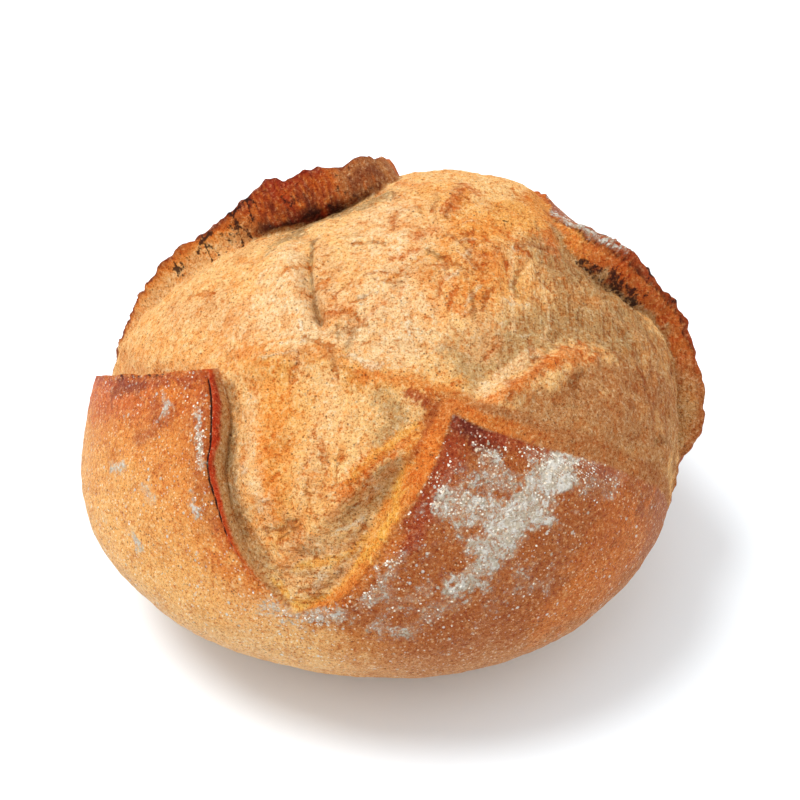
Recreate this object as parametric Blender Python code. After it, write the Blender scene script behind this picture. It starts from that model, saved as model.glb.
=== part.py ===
"""A round country loaf with a wide cross-shaped opening: four pieces of browned crust, torn apart
along two crossing cuts, with pale bloomed dough between them. One solid, in metres, +Z up, resting on
Z = 0.

The crust is described on a plan of directions. A place on it is (bearing, tilt): bearing in degrees
counter-clockwise from +X, and tilt in degrees away from straight up, so tilt 0 is the crown and tilt
90 the loaf's waist."""

import math

import bmesh
import bpy
import numpy as np
from mathutils import Vector, noise

# Driving dimensions, in metres
HALF_WIDTH = 0.102
HALF_DEPTH = 0.108
CROWN_RISE = 0.083
BELLY_DROP = 0.058
WAIST_HEIGHT = 0.0500
CROWN_LEAN = 0.018
SOLE_ROUNDING = 0.007
CENTRE_SHIFT = (-0.0064, -0.0007)

# Lopsided swells of the whole loaf: (bearing, tilt, spread in degrees, outward amount)
SWELLS = (
    (205, 85, 28, 0.0030),
    (140, 80, 30, -0.0040),
    (350, 80, 20, 0.0012),
    (320, 95, 32, 0.0055),
    (270, 100, 32, -0.006),
    (60, 50, 30, -0.002),
    (66, 32, 14, 0.0040),
)

# The ends of the cross's four arms, and the inner corner of each piece of crust
RIGHT_TIP, BACK_TIP, LEFT_TIP, FRONT_TIP = (341, 94), (77, 86), (162, 99), (254, 80.5)
BACK_RIGHT, BACK_LEFT, FRONT_LEFT, FRONT_RIGHT = (36, 34), (104, 30.5), (208, 45), (281, 37)

# Each torn edge runs from a corner to a tip. A row is a place on it, then what the edge is like there,
# in metres: how high its lip stands, how wide the torn face below it is, how far the dough beside it
# lies down, how deep the furrow at its foot is, and how far that furrow reaches back under the face.
EDGE_VALUES = ("lift", "face", "sink", "furrow", "under")
EDGES = {
    "front_left_top": (
        (FRONT_LEFT, 0.0026, 0.0020, 0.0005, 0.0000, 0.0),
        ((201, 50.5), 0.0024, 0.0018, 0.0030, 0.0006, 0.0),
        ((194, 57.5), 0.0024, 0.0018, 0.0036, 0.0010, 0.0004),
        ((185, 67), 0.0026, 0.0020, 0.0056, 0.0012, 0.0004),
        ((175, 79), 0.0026, 0.0024, 0.0066, 0.0006, 0.0),
        ((167, 91), 0.0006, 0.0030, 0.0010, 0.0, 0.0),
        (LEFT_TIP, 0.0, 0.0030, 0.0, 0.0, 0.0),
    ),
    "front_left_side": (
        (FRONT_LEFT, 0.0026, 0.0034, 0.0022, 0.0008, 0.0),
        ((217, 48), 0.0034, 0.0026, 0.0036, 0.0016, 0.0008),
        ((223, 53), 0.0034, 0.0022, 0.0040, 0.0018, 0.0010),
        ((228, 58.5), 0.0032, 0.0022, 0.0038, 0.0016, 0.0010),
        ((239, 69), 0.0020, 0.0020, 0.0030, 0.0010, 0.0004),
        ((247, 75.5), 0.0008, 0.0020, 0.0014, 0.0004, 0.0),
        (FRONT_TIP, 0.0, 0.0020, 0.0, 0.0, 0.0),
    ),
    "front_right_side": (
        (FRONT_RIGHT, 0.0014, 0.0140, 0.0020, 0.0000, 0.0),
        ((278, 42), 0.0026, 0.0140, 0.0036, 0.0004, 0.0),
        ((275, 48), 0.0024, 0.0115, 0.0046, 0.0010, 0.0),
        ((269, 59), 0.0020, 0.0095, 0.0046, 0.0010, 0.0),
        ((266, 67), 0.0014, 0.0070, 0.0034, 0.0008, 0.0),
        ((261, 75.5), 0.0004, 0.0040, 0.0014, 0.0004, 0.0),
        (FRONT_TIP, 0.0, 0.0020, 0.0, 0.0, 0.0),
    ),
    "front_right_top": (
        (FRONT_RIGHT, 0.0014, 0.0050, 0.0004, 0.0004, 0.0),
        ((290, 41), 0.0006, 0.0080, -0.0006, 0.0004, 0.0),
        ((300, 46), 0.0004, 0.0085, -0.0004, 0.0004, 0.0),
        ((309, 52), 0.0004, 0.0085, 0.0000, 0.0004, 0.0),
        ((318, 59), 0.0004, 0.0080, 0.0000, 0.0002, 0.0),
        ((326, 68), 0.0004, 0.0070, 0.0000, 0.0, 0.0),
        (RIGHT_TIP, 0.0, 0.0040, 0.0, 0.0, 0.0),
    ),
    "back_right_side": (
        (BACK_RIGHT, 0.0, 0.0160, -0.0020, 0.0004, 0.0),
        ((24, 37), 0.0050, 0.0155, 0.0000, 0.0014, 0.0004),
        ((16, 42), 0.0082, 0.0130, 0.0014, 0.0026, 0.0014),
        ((11, 50), 0.0090, 0.0085, 0.0008, 0.0024, 0.0014),
        ((8, 60), 0.0082, 0.0056, -0.0004, 0.0010, 0.0004),
        ((3, 70), 0.0098, 0.0044, -0.0012, 0.0004, 0.0),
        ((356, 79), 0.0098, 0.0050, 0.0010, 0.0010, 0.0004),
        ((349, 86), 0.0010, 0.0040, 0.0006, 0.0006, 0.0),
        (RIGHT_TIP, 0.0, 0.0040, 0.0, 0.0, 0.0),
    ),
    "back_right_rear": (
        (BACK_RIGHT, 0.0, 0.0120, -0.0014, 0.0, 0.0),
        ((46, 44), 0.0010, 0.0110, -0.0004, 0.0004, 0.0),
        ((56, 56), 0.0050, 0.0080, 0.0040, 0.0014, 0.0004),
        ((66, 70), 0.0020, 0.0050, 0.0030, 0.0008, 0.0),
        (BACK_TIP, 0.0, 0.0025, 0.0, 0.0, 0.0),
    ),
    "back_left_rear": (
        (BACK_LEFT, 0.0070, 0.0060, 0.0, 0.0004, 0.0),
        ((97, 42), 0.0052, 0.0060, 0.0026, 0.0012, 0.0006),
        ((93, 54), 0.0048, 0.0055, 0.0040, 0.0014, 0.0006),
        ((88, 66), 0.0026, 0.0045, 0.0034, 0.0010, 0.0),
        ((82, 78), 0.0006, 0.0030, 0.0012, 0.0, 0.0),
        (BACK_TIP, 0.0, 0.0025, 0.0, 0.0, 0.0),
    ),
    "back_left_side": (
        (BACK_LEFT, 0.0070, 0.0090, 0.0, 0.0006, 0.0),
        ((111, 29.5), 0.0108, 0.0100, 0.0006, 0.0012, 0.0010),
        ((118, 30), 0.0088, 0.0090, 0.0010, 0.0022, 0.0026),
        ((132, 32), 0.0120, 0.0070, 0.0018, 0.0032, 0.0034),
        ((143, 35), 0.0150, 0.0060, 0.0018, 0.0022, 0.0020),
        ((151, 41), 0.0098, 0.0050, 0.0008, 0.0006, 0.0),
        ((158, 51), 0.0092, 0.0046, 0.0004, 0.0004, 0.0),
        ((161, 62), 0.0070, 0.0042, 0.0008, 0.0, 0.0),
        ((161, 74), 0.0026, 0.0050, 0.0010, 0.0, 0.0),
        (LEFT_TIP, 0.0, 0.0030, 0.0, 0.0, 0.0),
    ),
}
# The edges in their order round the loaf, from the right tip. Every other one is run backwards.
ROUND = (
    "back_right_side", "back_right_rear", "back_left_rear", "back_left_side",
    "front_left_top", "front_left_side", "front_right_side", "front_right_top",
)
LIP_REACH = 0.013        # how far back from its edge the crust curls up
LIP_CURL = 1.3           # and how sharply
RAGGED_SIZE = 0.009      # size of the bumps along a lip
RAGGED_SHARE = 0.20      # and their height as a share of its lift
SINK_REACH = 0.013       # how far from the edge the dough stays sunk
SINK_CURL = 1.5          # and how sharply it comes up
FURROW_REACH = 0.0032    # half the width of the furrow at a torn face's foot
BAND_SHARE = 0.7         # the strip of plan drawn out into a torn face, as a share of its profile
BAND_LEAST = 0.0032
BAND_MOST = 0.0085
FACE_END = 0.62          # the share of it that the face takes, before the furrow turns back under
FACE_FALL = 0.86         # the share of it over which the height falls to the foot
UNDERCUT_SHARE = 0.8     # how far a deeply undercut face runs out over its foot
UNDERCUT_TURN = 0.0012   # the depth of undercut that goes half that way
SETTLE = 0.010           # the strip of dough beyond it that takes up the difference
BAND_ROOM = 0.40         # in a narrow place, the share of the way to the middle that the strip takes
FACE_ROOM = 0.60         # and the share that the face may reach
EDGE_BLEND = 0.0020      # how softly two edges pass into each other at a corner
NEAR_ZERO = 1e-9
LEAST_TILT = 1e-6        # degrees, for the crown itself
SOLE_TILT = 150          # degrees, from which the sole counts as no narrower
NORMAL_STEP = 0.2        # degrees between the places that give a normal
LEAST_AREA = 1e-12

# Folds of the bloomed dough: places along each, its height, and how far it falls away to the left and
# to the right of its run
FOLDS = (
    (((211, 44), (220, 36), (234, 30), (256, 31), (270, 34), (279, 36.5)), 0.0042, 0.012, 0.0045),
    (((276, 42), (265, 45), (258, 52), (253, 61)), 0.0044, 0.0032, 0.0060),
    (((286, 38), (296, 36), (309, 35), (320, 35), (329, 38)), 0.0048, 0.0036, 0.012),
    (((66, 26), (67, 16), (75, 9)), 0.0016, 0.004, 0.008),
    (((16, 15), (345, 13), (318, 18), (304, 26)), 0.0022, 0.004, 0.016),
    (((163, 27), (186, 25), (207, 26), (226, 29)), 0.0032, 0.0034, 0.010),
    (((222, 22), (227, 20), (233, 20)), 0.0012, 0.003, 0.002),
    (((80, 55), (76, 68)), 0.0020, 0.005, 0.005),
)
# Creases of the bloomed dough: places along each, its depth and half its width
CREASES = (
    (((164, 22), (188, 22), (207, 23), (222, 25), (236, 28)), 0.0032, 0.0017),
    (((232, 20), (236, 24), (239, 27)), 0.0014, 0.0018),
    (((84, 44), (80, 60)), 0.0018, 0.0030),
)
FOLD_CURL = 1.5          # how sharply a fold falls away
FOLD_FADE = 0.18         # the share of a fold's run over which it rises at each end
FOLD_END = 0.35          # how high its very end is, as a share of the whole
CREASE_FADE = 0.25       # the share of a crease's run over which it deepens at each end
# Wide hollows and swells of the dough: (bearing, tilt, spread in degrees, height)
LOBES = (
    (261, 53, 6, -0.0022),
    (52, 35, 8, 0.0012),
    (254, 68, 6, -0.0014),
    (265, 41, 4, -0.0014),
    (240, 40, 8, -0.0010),
    (296, 28, 7, -0.0024),
    (340, 30, 11, -0.0032),
    (318, 52, 9, 0.0018),
    (184, 45, 13, 0.0010),
    (240, 8, 12, 0.0012),
    (234, 54, 7, 0.0020),
)

FIRST_CUTS = 7           # subdivisions of the starting ball
CROWN_DENSITY = 0.57     # under 1, more of the ball's points go to the crown than to the sole
TARGET_TRIANGLES = 11400
LUMPS = ((0.034, 0.0009), (0.013, 0.00045))   # size and height of the crust's own unevenness
EDGE_STEP = 0.5          # degrees between the points of a drawn edge

CRUST_COLOUR = (0.52, 0.27, 0.11)
CRUST_ROUGHNESS = 0.75


def unit(bearing, tilt):
    """Direction of a place on the crust."""
    b, t = math.radians(bearing), math.radians(tilt)
    return np.array([math.sin(t) * math.cos(b), math.sin(t) * math.sin(b), math.cos(t)])


def plan_of(directions):
    """The plan's points for directions: tilt in degrees as the distance from the crown."""
    bearing = np.arctan2(directions[:, 1], directions[:, 0])
    tilt = np.degrees(np.arctan2(np.hypot(directions[:, 0], directions[:, 1]), directions[:, 2]))
    return np.stack([tilt * np.cos(bearing), tilt * np.sin(bearing)], axis=-1)


def place(bearing, tilt):
    """One place as a point of the plan."""
    b = math.radians(bearing)
    return np.array([tilt * math.cos(b), tilt * math.sin(b)])


def directions_of(plan):
    tilt = np.hypot(plan[:, 0], plan[:, 1])
    t = np.radians(tilt)
    share = np.where(tilt > NEAR_ZERO, np.sin(t) / np.maximum(tilt, NEAR_ZERO), math.pi / 180)
    return np.stack([plan[:, 0] * share, plan[:, 1] * share, np.cos(t)], axis=-1)


def metres_per_degree(plan):
    tilt = np.maximum(np.hypot(plan[:, 0], plan[:, 1]), LEAST_TILT)
    return (HALF_WIDTH + HALF_DEPTH) / 2 * np.sin(np.radians(np.minimum(tilt, SOLE_TILT))) / tilt


def ball_form(plan):
    """The loaf's smooth form, with no crust detail."""
    q = directions_of(plan)
    rise = np.where(q[:, 2] > 0, CROWN_RISE, BELLY_DROP)
    at = np.stack([HALF_WIDTH * q[:, 0], HALF_DEPTH * q[:, 1], WAIST_HEIGHT + rise * q[:, 2]], axis=-1)
    at[:, 0] += CROWN_LEAN * np.clip(q[:, 2], 0, 1) + CENTRE_SHIFT[0]
    at[:, 1] += CENTRE_SHIFT[1]
    for bearing, tilt, spread, amount in SWELLS:
        away = np.degrees(np.arccos(np.clip(q @ unit(bearing, tilt), -1, 1)))
        at += (amount * np.exp(-((away / spread) ** 2) / 2))[:, None] * q
    return at


def soft_floor(at):
    """Flattens the underside: nothing goes below Z = 0, and the sole meets the belly in a soft curve."""
    low = np.clip((at[:, 2] + SOLE_ROUNDING) / (2 * SOLE_ROUNDING), 0, 1)
    at[:, 2] = np.where(at[:, 2] < SOLE_ROUNDING, SOLE_ROUNDING * low * low, at[:, 2])
    return at


def outward(plan):
    """Outward normals of the smooth form."""
    dx, dy = np.array([NORMAL_STEP, 0.0]), np.array([0.0, NORMAL_STEP])
    along_x = ball_form(plan + dx) - ball_form(plan - dx)
    along_y = ball_form(plan + dy) - ball_form(plan - dy)
    n = np.cross(along_x, along_y)
    return n / np.maximum(np.linalg.norm(n, axis=1), LEAST_AREA)[:, None]


def drawn(places):
    """A smooth line through places: its plan points, the share of the run at each and at each place."""
    points = np.array([place(*p) for p in places])
    ends = np.vstack([2 * points[0] - points[1], points, 2 * points[-1] - points[-2]])
    line = []
    stops = [0]
    for a, b, c, d in zip(ends, ends[1:], ends[2:], ends[3:]):
        n = max(2, int(np.linalg.norm(c - b) / EDGE_STEP))
        t = (np.arange(n) / n)[:, None]
        bend = (2 * a - 5 * b + 4 * c - d) * t**2 + (3 * b - a - 3 * c + d) * t**3
        line.append(0.5 * (2 * b + (c - a) * t + bend))
        stops.append(stops[-1] + n)
    line.append(points[-1:])
    line = np.vstack(line)
    along = np.concatenate([[0], np.cumsum(np.linalg.norm(np.diff(line, axis=0), axis=1))])
    shares = along / along[-1]
    return line, shares, shares[stops]


def nearest_on(line, shares, plan):
    """For each plan point: offset from the nearest point of the line, its share of the run, and its side."""
    starts, runs = line[:-1], np.diff(line, axis=0)
    lengths = (runs**2).sum(1)
    best = np.full(len(plan), np.inf)
    offset = np.zeros_like(plan)
    share = np.zeros(len(plan))
    side = np.zeros(len(plan))
    for start, run, length, s0, s1 in zip(starts, runs, lengths, shares, shares[1:]):
        t = np.clip((plan - start) @ run / length, 0, 1)
        away = plan - start - t[:, None] * run
        far = (away**2).sum(1)
        nearer = far < best
        best = np.where(nearer, far, best)
        offset[nearer] = away[nearer]
        share[nearer] = (s0 + t * (s1 - s0))[nearer]
        turn = run[0] * away[:, 1] - run[1] * away[:, 0]
        side[nearer] = np.sign(turn[nearer])
    return offset, share, side


def inside(outline, plan):
    """Whether each plan point is inside the closed outline."""
    found = np.zeros(len(plan), bool)
    for (x0, y0), (x1, y1) in zip(outline, np.roll(outline, -1, axis=0)):
        if y0 == y1:
            continue
        crosses = (y0 > plan[:, 1]) != (y1 > plan[:, 1])
        found ^= crosses & (plan[:, 0] < x0 + (plan[:, 1] - y0) * (x1 - x0) / (y1 - y0))
    return found


def smooth_step(x):
    x = np.clip(x, 0, 1)
    return x * x * (3 - 2 * x)


def whole_outline(runs):
    """The cross's torn outline as one closed run of plan points."""
    lines = [runs[name][0] for name in ROUND]
    return np.vstack([line[::-1] if i % 2 == 0 else line for i, line in enumerate(lines)])


def edges_near(plan):
    """Signed distance in metres from the cross's torn outline (crust positive), the way to the crust on
    the plan, the room from the nearest crust to the middle of the opening, and the edge values there."""
    runs = {name: drawn([row[0] for row in rows]) for name, rows in EDGES.items()}
    sign = np.where(inside(whole_outline(runs), plan), -1.0, 1.0)
    scale = metres_per_degree(plan)
    found = {}
    by_piece = {}
    for name in ROUND:
        line, shares, stops = runs[name]
        offset, share, _ = nearest_on(line, shares, plan)
        far = np.linalg.norm(offset, axis=1) * scale
        found[name] = (far, offset, share, stops)
        piece = name.rsplit("_", 1)[0]
        by_piece[piece] = np.minimum(far, by_piece.get(piece, np.inf))
    nearest, second = np.sort(list(by_piece.values()), axis=0)[:2]
    total = np.zeros(len(plan))
    way = np.zeros_like(plan)
    values = {key: np.zeros(len(plan)) for key in EDGE_VALUES}
    for name, (far, offset, share, stops) in found.items():
        weight = np.exp(-(far - nearest) / EDGE_BLEND)
        total += weight
        way += (weight * sign / np.maximum(np.linalg.norm(offset, axis=1), NEAR_ZERO))[:, None] * offset
        for column, key in enumerate(EDGE_VALUES, 1):
            values[key] += weight * np.interp(share, stops, [row[column] for row in EDGES[name]])
    for key in values:
        values[key] /= total
    way /= np.maximum(np.linalg.norm(way, axis=1), NEAR_ZERO)[:, None]
    return sign * nearest, way, (nearest + second) / 2, values


def dough_relief(plan):
    """Height of the bloomed dough's folds, creases and lobes, in metres."""
    scale = metres_per_degree(plan)
    height = np.zeros(len(plan))
    for places, top, left, right in FOLDS:
        line, shares, _ = drawn(places)
        offset, share, side = nearest_on(line, shares, plan)
        far = np.linalg.norm(offset, axis=1) * scale
        width = np.where(side > 0, left, right)
        ends = smooth_step(share / FOLD_FADE) * smooth_step((1 - share) / FOLD_FADE)
        rise = top * (FOLD_END + (1 - FOLD_END) * ends)
        height = np.maximum(height, rise * np.exp(-((far / width) ** FOLD_CURL)))
    for places, depth, half in CREASES:
        line, shares, _ = drawn(places)
        offset, share, _ = nearest_on(line, shares, plan)
        far = np.linalg.norm(offset, axis=1) * scale
        ends = smooth_step(share / CREASE_FADE) * smooth_step((1 - share) / CREASE_FADE)
        height -= depth * ends * np.exp(-((far / half) ** 2))
    q = directions_of(plan)
    for bearing, tilt, spread, top in LOBES:
        away = np.degrees(np.arccos(np.clip(q @ unit(bearing, tilt), -1, 1)))
        height += top * np.exp(-((away / spread) ** 2))
    return height


def bumps(at, size):
    """Smooth unevenness from -1 to 1, with bumps of one size."""
    return np.array([noise.noise(Vector(p) / size) for p in at])


def lumps(at):
    """The crust's own unevenness at each point."""
    return sum(top * bumps(at, size) for size, top in LUMPS)


def torn(plan):
    """Plan points and heights in metres once the crust is torn open."""
    distance, way, room, edge = edges_near(plan)
    lift = edge["lift"] * (1 + RAGGED_SHARE * bumps(ball_form(plan), RAGGED_SIZE))
    back = np.clip(distance, 0, None)
    out = np.clip(-distance, 0, None)
    face = np.minimum(edge["face"], FACE_ROOM * room)
    profile = face + lift + edge["sink"] + edge["furrow"] + 2 * edge["under"]
    band = np.minimum(np.clip(BAND_SHARE * profile, BAND_LEAST, BAND_MOST), BAND_ROOM * room) + NEAR_ZERO
    # The torn face goes down from the lip, and its foot turns back under it.
    down = np.clip(out / band, 0, 1)
    turned = np.clip((down - FACE_END) / (1 - FACE_END), 0, 1)
    over = UNDERCUT_SHARE * edge["under"] / (edge["under"] + UNDERCUT_TURN)
    swept = np.sin(math.pi / 2 * np.clip(down / FACE_END, 0, 1))
    face_at = face * ((1 - over) * down + over * swept) - edge["under"] * np.sin(math.pi * turned)
    # The dough beyond it takes up the strip that the face used.
    rest = np.clip((out - band) / (np.minimum(SETTLE, np.maximum(room - band, 0)) + NEAR_ZERO), 0, 1)
    dough_at = out + (face - band) * (1 - smooth_step(rest))
    slid = np.where(distance >= 0, back, -np.where(down < 1, face_at, dough_at))
    moved = plan + way * ((slid - distance) / metres_per_degree(plan))[:, None]
    beyond = np.where(down < 1, 0, np.clip(dough_at - face, 0, None))
    dough_height = dough_relief(moved) - edge["sink"] * np.exp(-((beyond / SINK_REACH) ** SINK_CURL))
    dough_height -= edge["furrow"] * np.exp(-((beyond / FURROW_REACH) ** 2))
    crust_height = lift * np.exp(-((back / LIP_REACH) ** LIP_CURL))
    fallen = smooth_step(down / FACE_FALL)
    return moved, np.where(distance >= 0, crust_height, lift + (dough_height - lift) * fallen)


def crowded(ball):
    """The ball's points, drawn up towards the crown."""
    up = -1 + np.clip(ball[:, 2] + 1, 0, 2) ** CROWN_DENSITY * 2 ** (1 - CROWN_DENSITY)
    flat = np.hypot(ball[:, 0], ball[:, 1])
    spread = np.sqrt(np.clip(1 - up * up, 0, 1)) / np.maximum(flat, NEAR_ZERO)
    return np.stack([ball[:, 0] * spread, ball[:, 1] * spread, up], axis=-1)


def shaped(ball):
    """Points of the loaf for the points of a unit ball."""
    plan, height = torn(plan_of(crowded(ball)))
    at = ball_form(plan)
    return soft_floor(at + outward(plan) * (height + lumps(at))[:, None])


def clear_scene():
    for thing in list(bpy.data.objects):
        bpy.data.objects.remove(thing, do_unlink=True)


def crust_material():
    """Browned crust, matt and a little uneven."""
    material = bpy.data.materials.new("crust")
    material.use_nodes = True
    shader = material.node_tree.nodes["Principled BSDF"]
    shader.inputs["Base Color"].default_value = (*CRUST_COLOUR, 1)
    shader.inputs["Roughness"].default_value = CRUST_ROUGHNESS
    shader.inputs["Metallic"].default_value = 0.0
    return material


def build_loaf():
    """The loaf as one closed solid, thinned to its target number of triangles."""
    mesh = bpy.data.meshes.new("country_loaf")
    ball = bmesh.new()
    bmesh.ops.create_icosphere(ball, subdivisions=FIRST_CUTS, radius=1.0)
    ball.to_mesh(mesh)
    ball.free()
    points = np.empty(len(mesh.vertices) * 3, np.float32)
    mesh.vertices.foreach_get("co", points)
    points = shaped(points.reshape(-1, 3).astype(float))
    mesh.vertices.foreach_set("co", points.astype(np.float32).ravel())
    mesh.update()
    loaf = bpy.data.objects.new("country_loaf", mesh)
    loaf.data.materials.append(crust_material())
    home = bpy.data.collections.new("country_loaf")
    bpy.context.scene.collection.children.link(home)
    home.objects.link(loaf)
    thin = loaf.modifiers.new("fewer_faces", "DECIMATE")
    thin.ratio = TARGET_TRIANGLES / len(mesh.polygons)
    thin.use_collapse_triangulate = True
    return loaf


clear_scene()
build_loaf()
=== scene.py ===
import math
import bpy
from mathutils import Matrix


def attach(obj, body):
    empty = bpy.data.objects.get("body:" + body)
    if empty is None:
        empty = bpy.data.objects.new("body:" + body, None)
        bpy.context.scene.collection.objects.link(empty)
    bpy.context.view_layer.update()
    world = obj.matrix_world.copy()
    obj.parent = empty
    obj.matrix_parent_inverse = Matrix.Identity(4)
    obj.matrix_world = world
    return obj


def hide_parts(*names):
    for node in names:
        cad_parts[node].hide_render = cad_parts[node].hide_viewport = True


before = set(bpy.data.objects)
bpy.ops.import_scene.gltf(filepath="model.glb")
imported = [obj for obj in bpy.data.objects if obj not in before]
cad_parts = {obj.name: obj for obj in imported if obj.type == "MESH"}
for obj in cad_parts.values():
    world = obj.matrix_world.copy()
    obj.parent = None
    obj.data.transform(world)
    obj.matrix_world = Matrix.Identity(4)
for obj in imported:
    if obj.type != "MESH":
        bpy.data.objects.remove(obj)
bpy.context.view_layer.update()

# Looks of a round country loaf with a wide cross-shaped opening: four pieces of browned crust, torn apart,
# with pale bloomed dough between them. The loaf has its solid's named values, on a much finer mesh.
# A place on the crust is (bearing, tilt): bearing in degrees counter-clockwise from +X, tilt in degrees
# from the crown. Lengths are in metres. Colours are 0 to 255, as a screen shows them.

from types import SimpleNamespace

import bmesh
import bpy
import numpy as np
from mathutils import Vector, kdtree, noise

# The whole loaf
HALF_WIDTH = 0.102
HALF_DEPTH = 0.108
CROWN_RISE = 0.083
BELLY_DROP = 0.058
WAIST_HEIGHT = 0.0500
CROWN_LEAN = 0.018
SOLE_ROUNDING = 0.007
CENTRE_SHIFT = (-0.0064, -0.0007)
SWELLS = (  # (bearing, tilt, spread in degrees, outward amount)
    (205, 85, 28, 0.0030),
    (140, 80, 30, -0.0040),
    (350, 80, 20, 0.0012),
    (320, 95, 32, 0.0055),
    (270, 100, 32, -0.006),
    (60, 50, 30, -0.002),
    (66, 32, 14, 0.0040),
)

# The torn edges. The ends of the cross's four arms, and the inner corner of each piece of crust:
RIGHT_TIP, BACK_TIP, LEFT_TIP, FRONT_TIP = (341, 94), (77, 86), (162, 99), (254, 80.5)
BACK_RIGHT, BACK_LEFT, FRONT_LEFT, FRONT_RIGHT = (36, 34), (104, 30.5), (208, 45), (281, 37)
# A row is a place on the edge, then the height of its lip, the width of the torn face below it, how far the
# dough beside it lies down, the depth of the furrow at its foot, and how far that reaches under the face.
EDGE_VALUES = ("lift", "face", "sink", "furrow", "under")
EDGES = {
    "front_left_top": (
        (FRONT_LEFT, 0.0026, 0.0020, 0.0005, 0.0000, 0.0),
        ((201, 50.5), 0.0024, 0.0018, 0.0030, 0.0006, 0.0),
        ((194, 57.5), 0.0024, 0.0018, 0.0036, 0.0010, 0.0004),
        ((185, 67), 0.0026, 0.0020, 0.0056, 0.0012, 0.0004),
        ((175, 79), 0.0026, 0.0024, 0.0066, 0.0006, 0.0),
        ((167, 91), 0.0006, 0.0030, 0.0010, 0.0, 0.0),
        (LEFT_TIP, 0.0, 0.0030, 0.0, 0.0, 0.0),
    ),
    "front_left_side": (
        (FRONT_LEFT, 0.0026, 0.0034, 0.0022, 0.0008, 0.0),
        ((217, 48), 0.0034, 0.0026, 0.0036, 0.0016, 0.0008),
        ((223, 53), 0.0034, 0.0022, 0.0040, 0.0018, 0.0010),
        ((228, 58.5), 0.0032, 0.0022, 0.0038, 0.0016, 0.0010),
        ((239, 69), 0.0020, 0.0020, 0.0030, 0.0010, 0.0004),
        ((247, 75.5), 0.0008, 0.0020, 0.0014, 0.0004, 0.0),
        (FRONT_TIP, 0.0, 0.0020, 0.0, 0.0, 0.0),
    ),
    "front_right_side": (
        (FRONT_RIGHT, 0.0014, 0.0140, 0.0020, 0.0000, 0.0),
        ((278, 42), 0.0026, 0.0140, 0.0036, 0.0004, 0.0),
        ((275, 48), 0.0024, 0.0115, 0.0046, 0.0010, 0.0),
        ((269, 59), 0.0020, 0.0095, 0.0046, 0.0010, 0.0),
        ((266, 67), 0.0014, 0.0070, 0.0034, 0.0008, 0.0),
        ((261, 75.5), 0.0004, 0.0040, 0.0014, 0.0004, 0.0),
        (FRONT_TIP, 0.0, 0.0020, 0.0, 0.0, 0.0),
    ),
    "front_right_top": (
        (FRONT_RIGHT, 0.0014, 0.0050, 0.0004, 0.0004, 0.0),
        ((290, 41), 0.0006, 0.0080, -0.0006, 0.0004, 0.0),
        ((300, 46), 0.0004, 0.0085, -0.0004, 0.0004, 0.0),
        ((309, 52), 0.0004, 0.0085, 0.0000, 0.0004, 0.0),
        ((318, 59), 0.0004, 0.0080, 0.0000, 0.0002, 0.0),
        ((326, 68), 0.0004, 0.0070, 0.0000, 0.0, 0.0),
        (RIGHT_TIP, 0.0, 0.0040, 0.0, 0.0, 0.0),
    ),
    "back_right_side": (
        (BACK_RIGHT, 0.0, 0.0160, -0.0020, 0.0004, 0.0),
        ((24, 37), 0.0050, 0.0155, 0.0000, 0.0014, 0.0004),
        ((16, 42), 0.0082, 0.0130, 0.0014, 0.0026, 0.0014),
        ((11, 50), 0.0090, 0.0085, 0.0008, 0.0024, 0.0014),
        ((8, 60), 0.0082, 0.0056, -0.0004, 0.0010, 0.0004),
        ((3, 70), 0.0098, 0.0044, -0.0012, 0.0004, 0.0),
        ((356, 79), 0.0098, 0.0050, 0.0010, 0.0010, 0.0004),
        ((349, 86), 0.0010, 0.0040, 0.0006, 0.0006, 0.0),
        (RIGHT_TIP, 0.0, 0.0040, 0.0, 0.0, 0.0),
    ),
    "back_right_rear": (
        (BACK_RIGHT, 0.0, 0.0120, -0.0014, 0.0, 0.0),
        ((46, 44), 0.0010, 0.0110, -0.0004, 0.0004, 0.0),
        ((56, 56), 0.0050, 0.0080, 0.0040, 0.0014, 0.0004),
        ((66, 70), 0.0020, 0.0050, 0.0030, 0.0008, 0.0),
        (BACK_TIP, 0.0, 0.0025, 0.0, 0.0, 0.0),
    ),
    "back_left_rear": (
        (BACK_LEFT, 0.0070, 0.0060, 0.0, 0.0004, 0.0),
        ((97, 42), 0.0052, 0.0060, 0.0026, 0.0012, 0.0006),
        ((93, 54), 0.0048, 0.0055, 0.0040, 0.0014, 0.0006),
        ((88, 66), 0.0026, 0.0045, 0.0034, 0.0010, 0.0),
        ((82, 78), 0.0006, 0.0030, 0.0012, 0.0, 0.0),
        (BACK_TIP, 0.0, 0.0025, 0.0, 0.0, 0.0),
    ),
    "back_left_side": (
        (BACK_LEFT, 0.0070, 0.0090, 0.0, 0.0006, 0.0),
        ((111, 29.5), 0.0108, 0.0100, 0.0006, 0.0012, 0.0010),
        ((118, 30), 0.0088, 0.0090, 0.0010, 0.0022, 0.0026),
        ((132, 32), 0.0120, 0.0070, 0.0018, 0.0032, 0.0034),
        ((143, 35), 0.0150, 0.0060, 0.0018, 0.0022, 0.0020),
        ((151, 41), 0.0098, 0.0050, 0.0008, 0.0006, 0.0),
        ((158, 51), 0.0092, 0.0046, 0.0004, 0.0004, 0.0),
        ((161, 62), 0.0070, 0.0042, 0.0008, 0.0, 0.0),
        ((161, 74), 0.0026, 0.0050, 0.0010, 0.0, 0.0),
        (LEFT_TIP, 0.0, 0.0030, 0.0, 0.0, 0.0),
    ),
}
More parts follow.
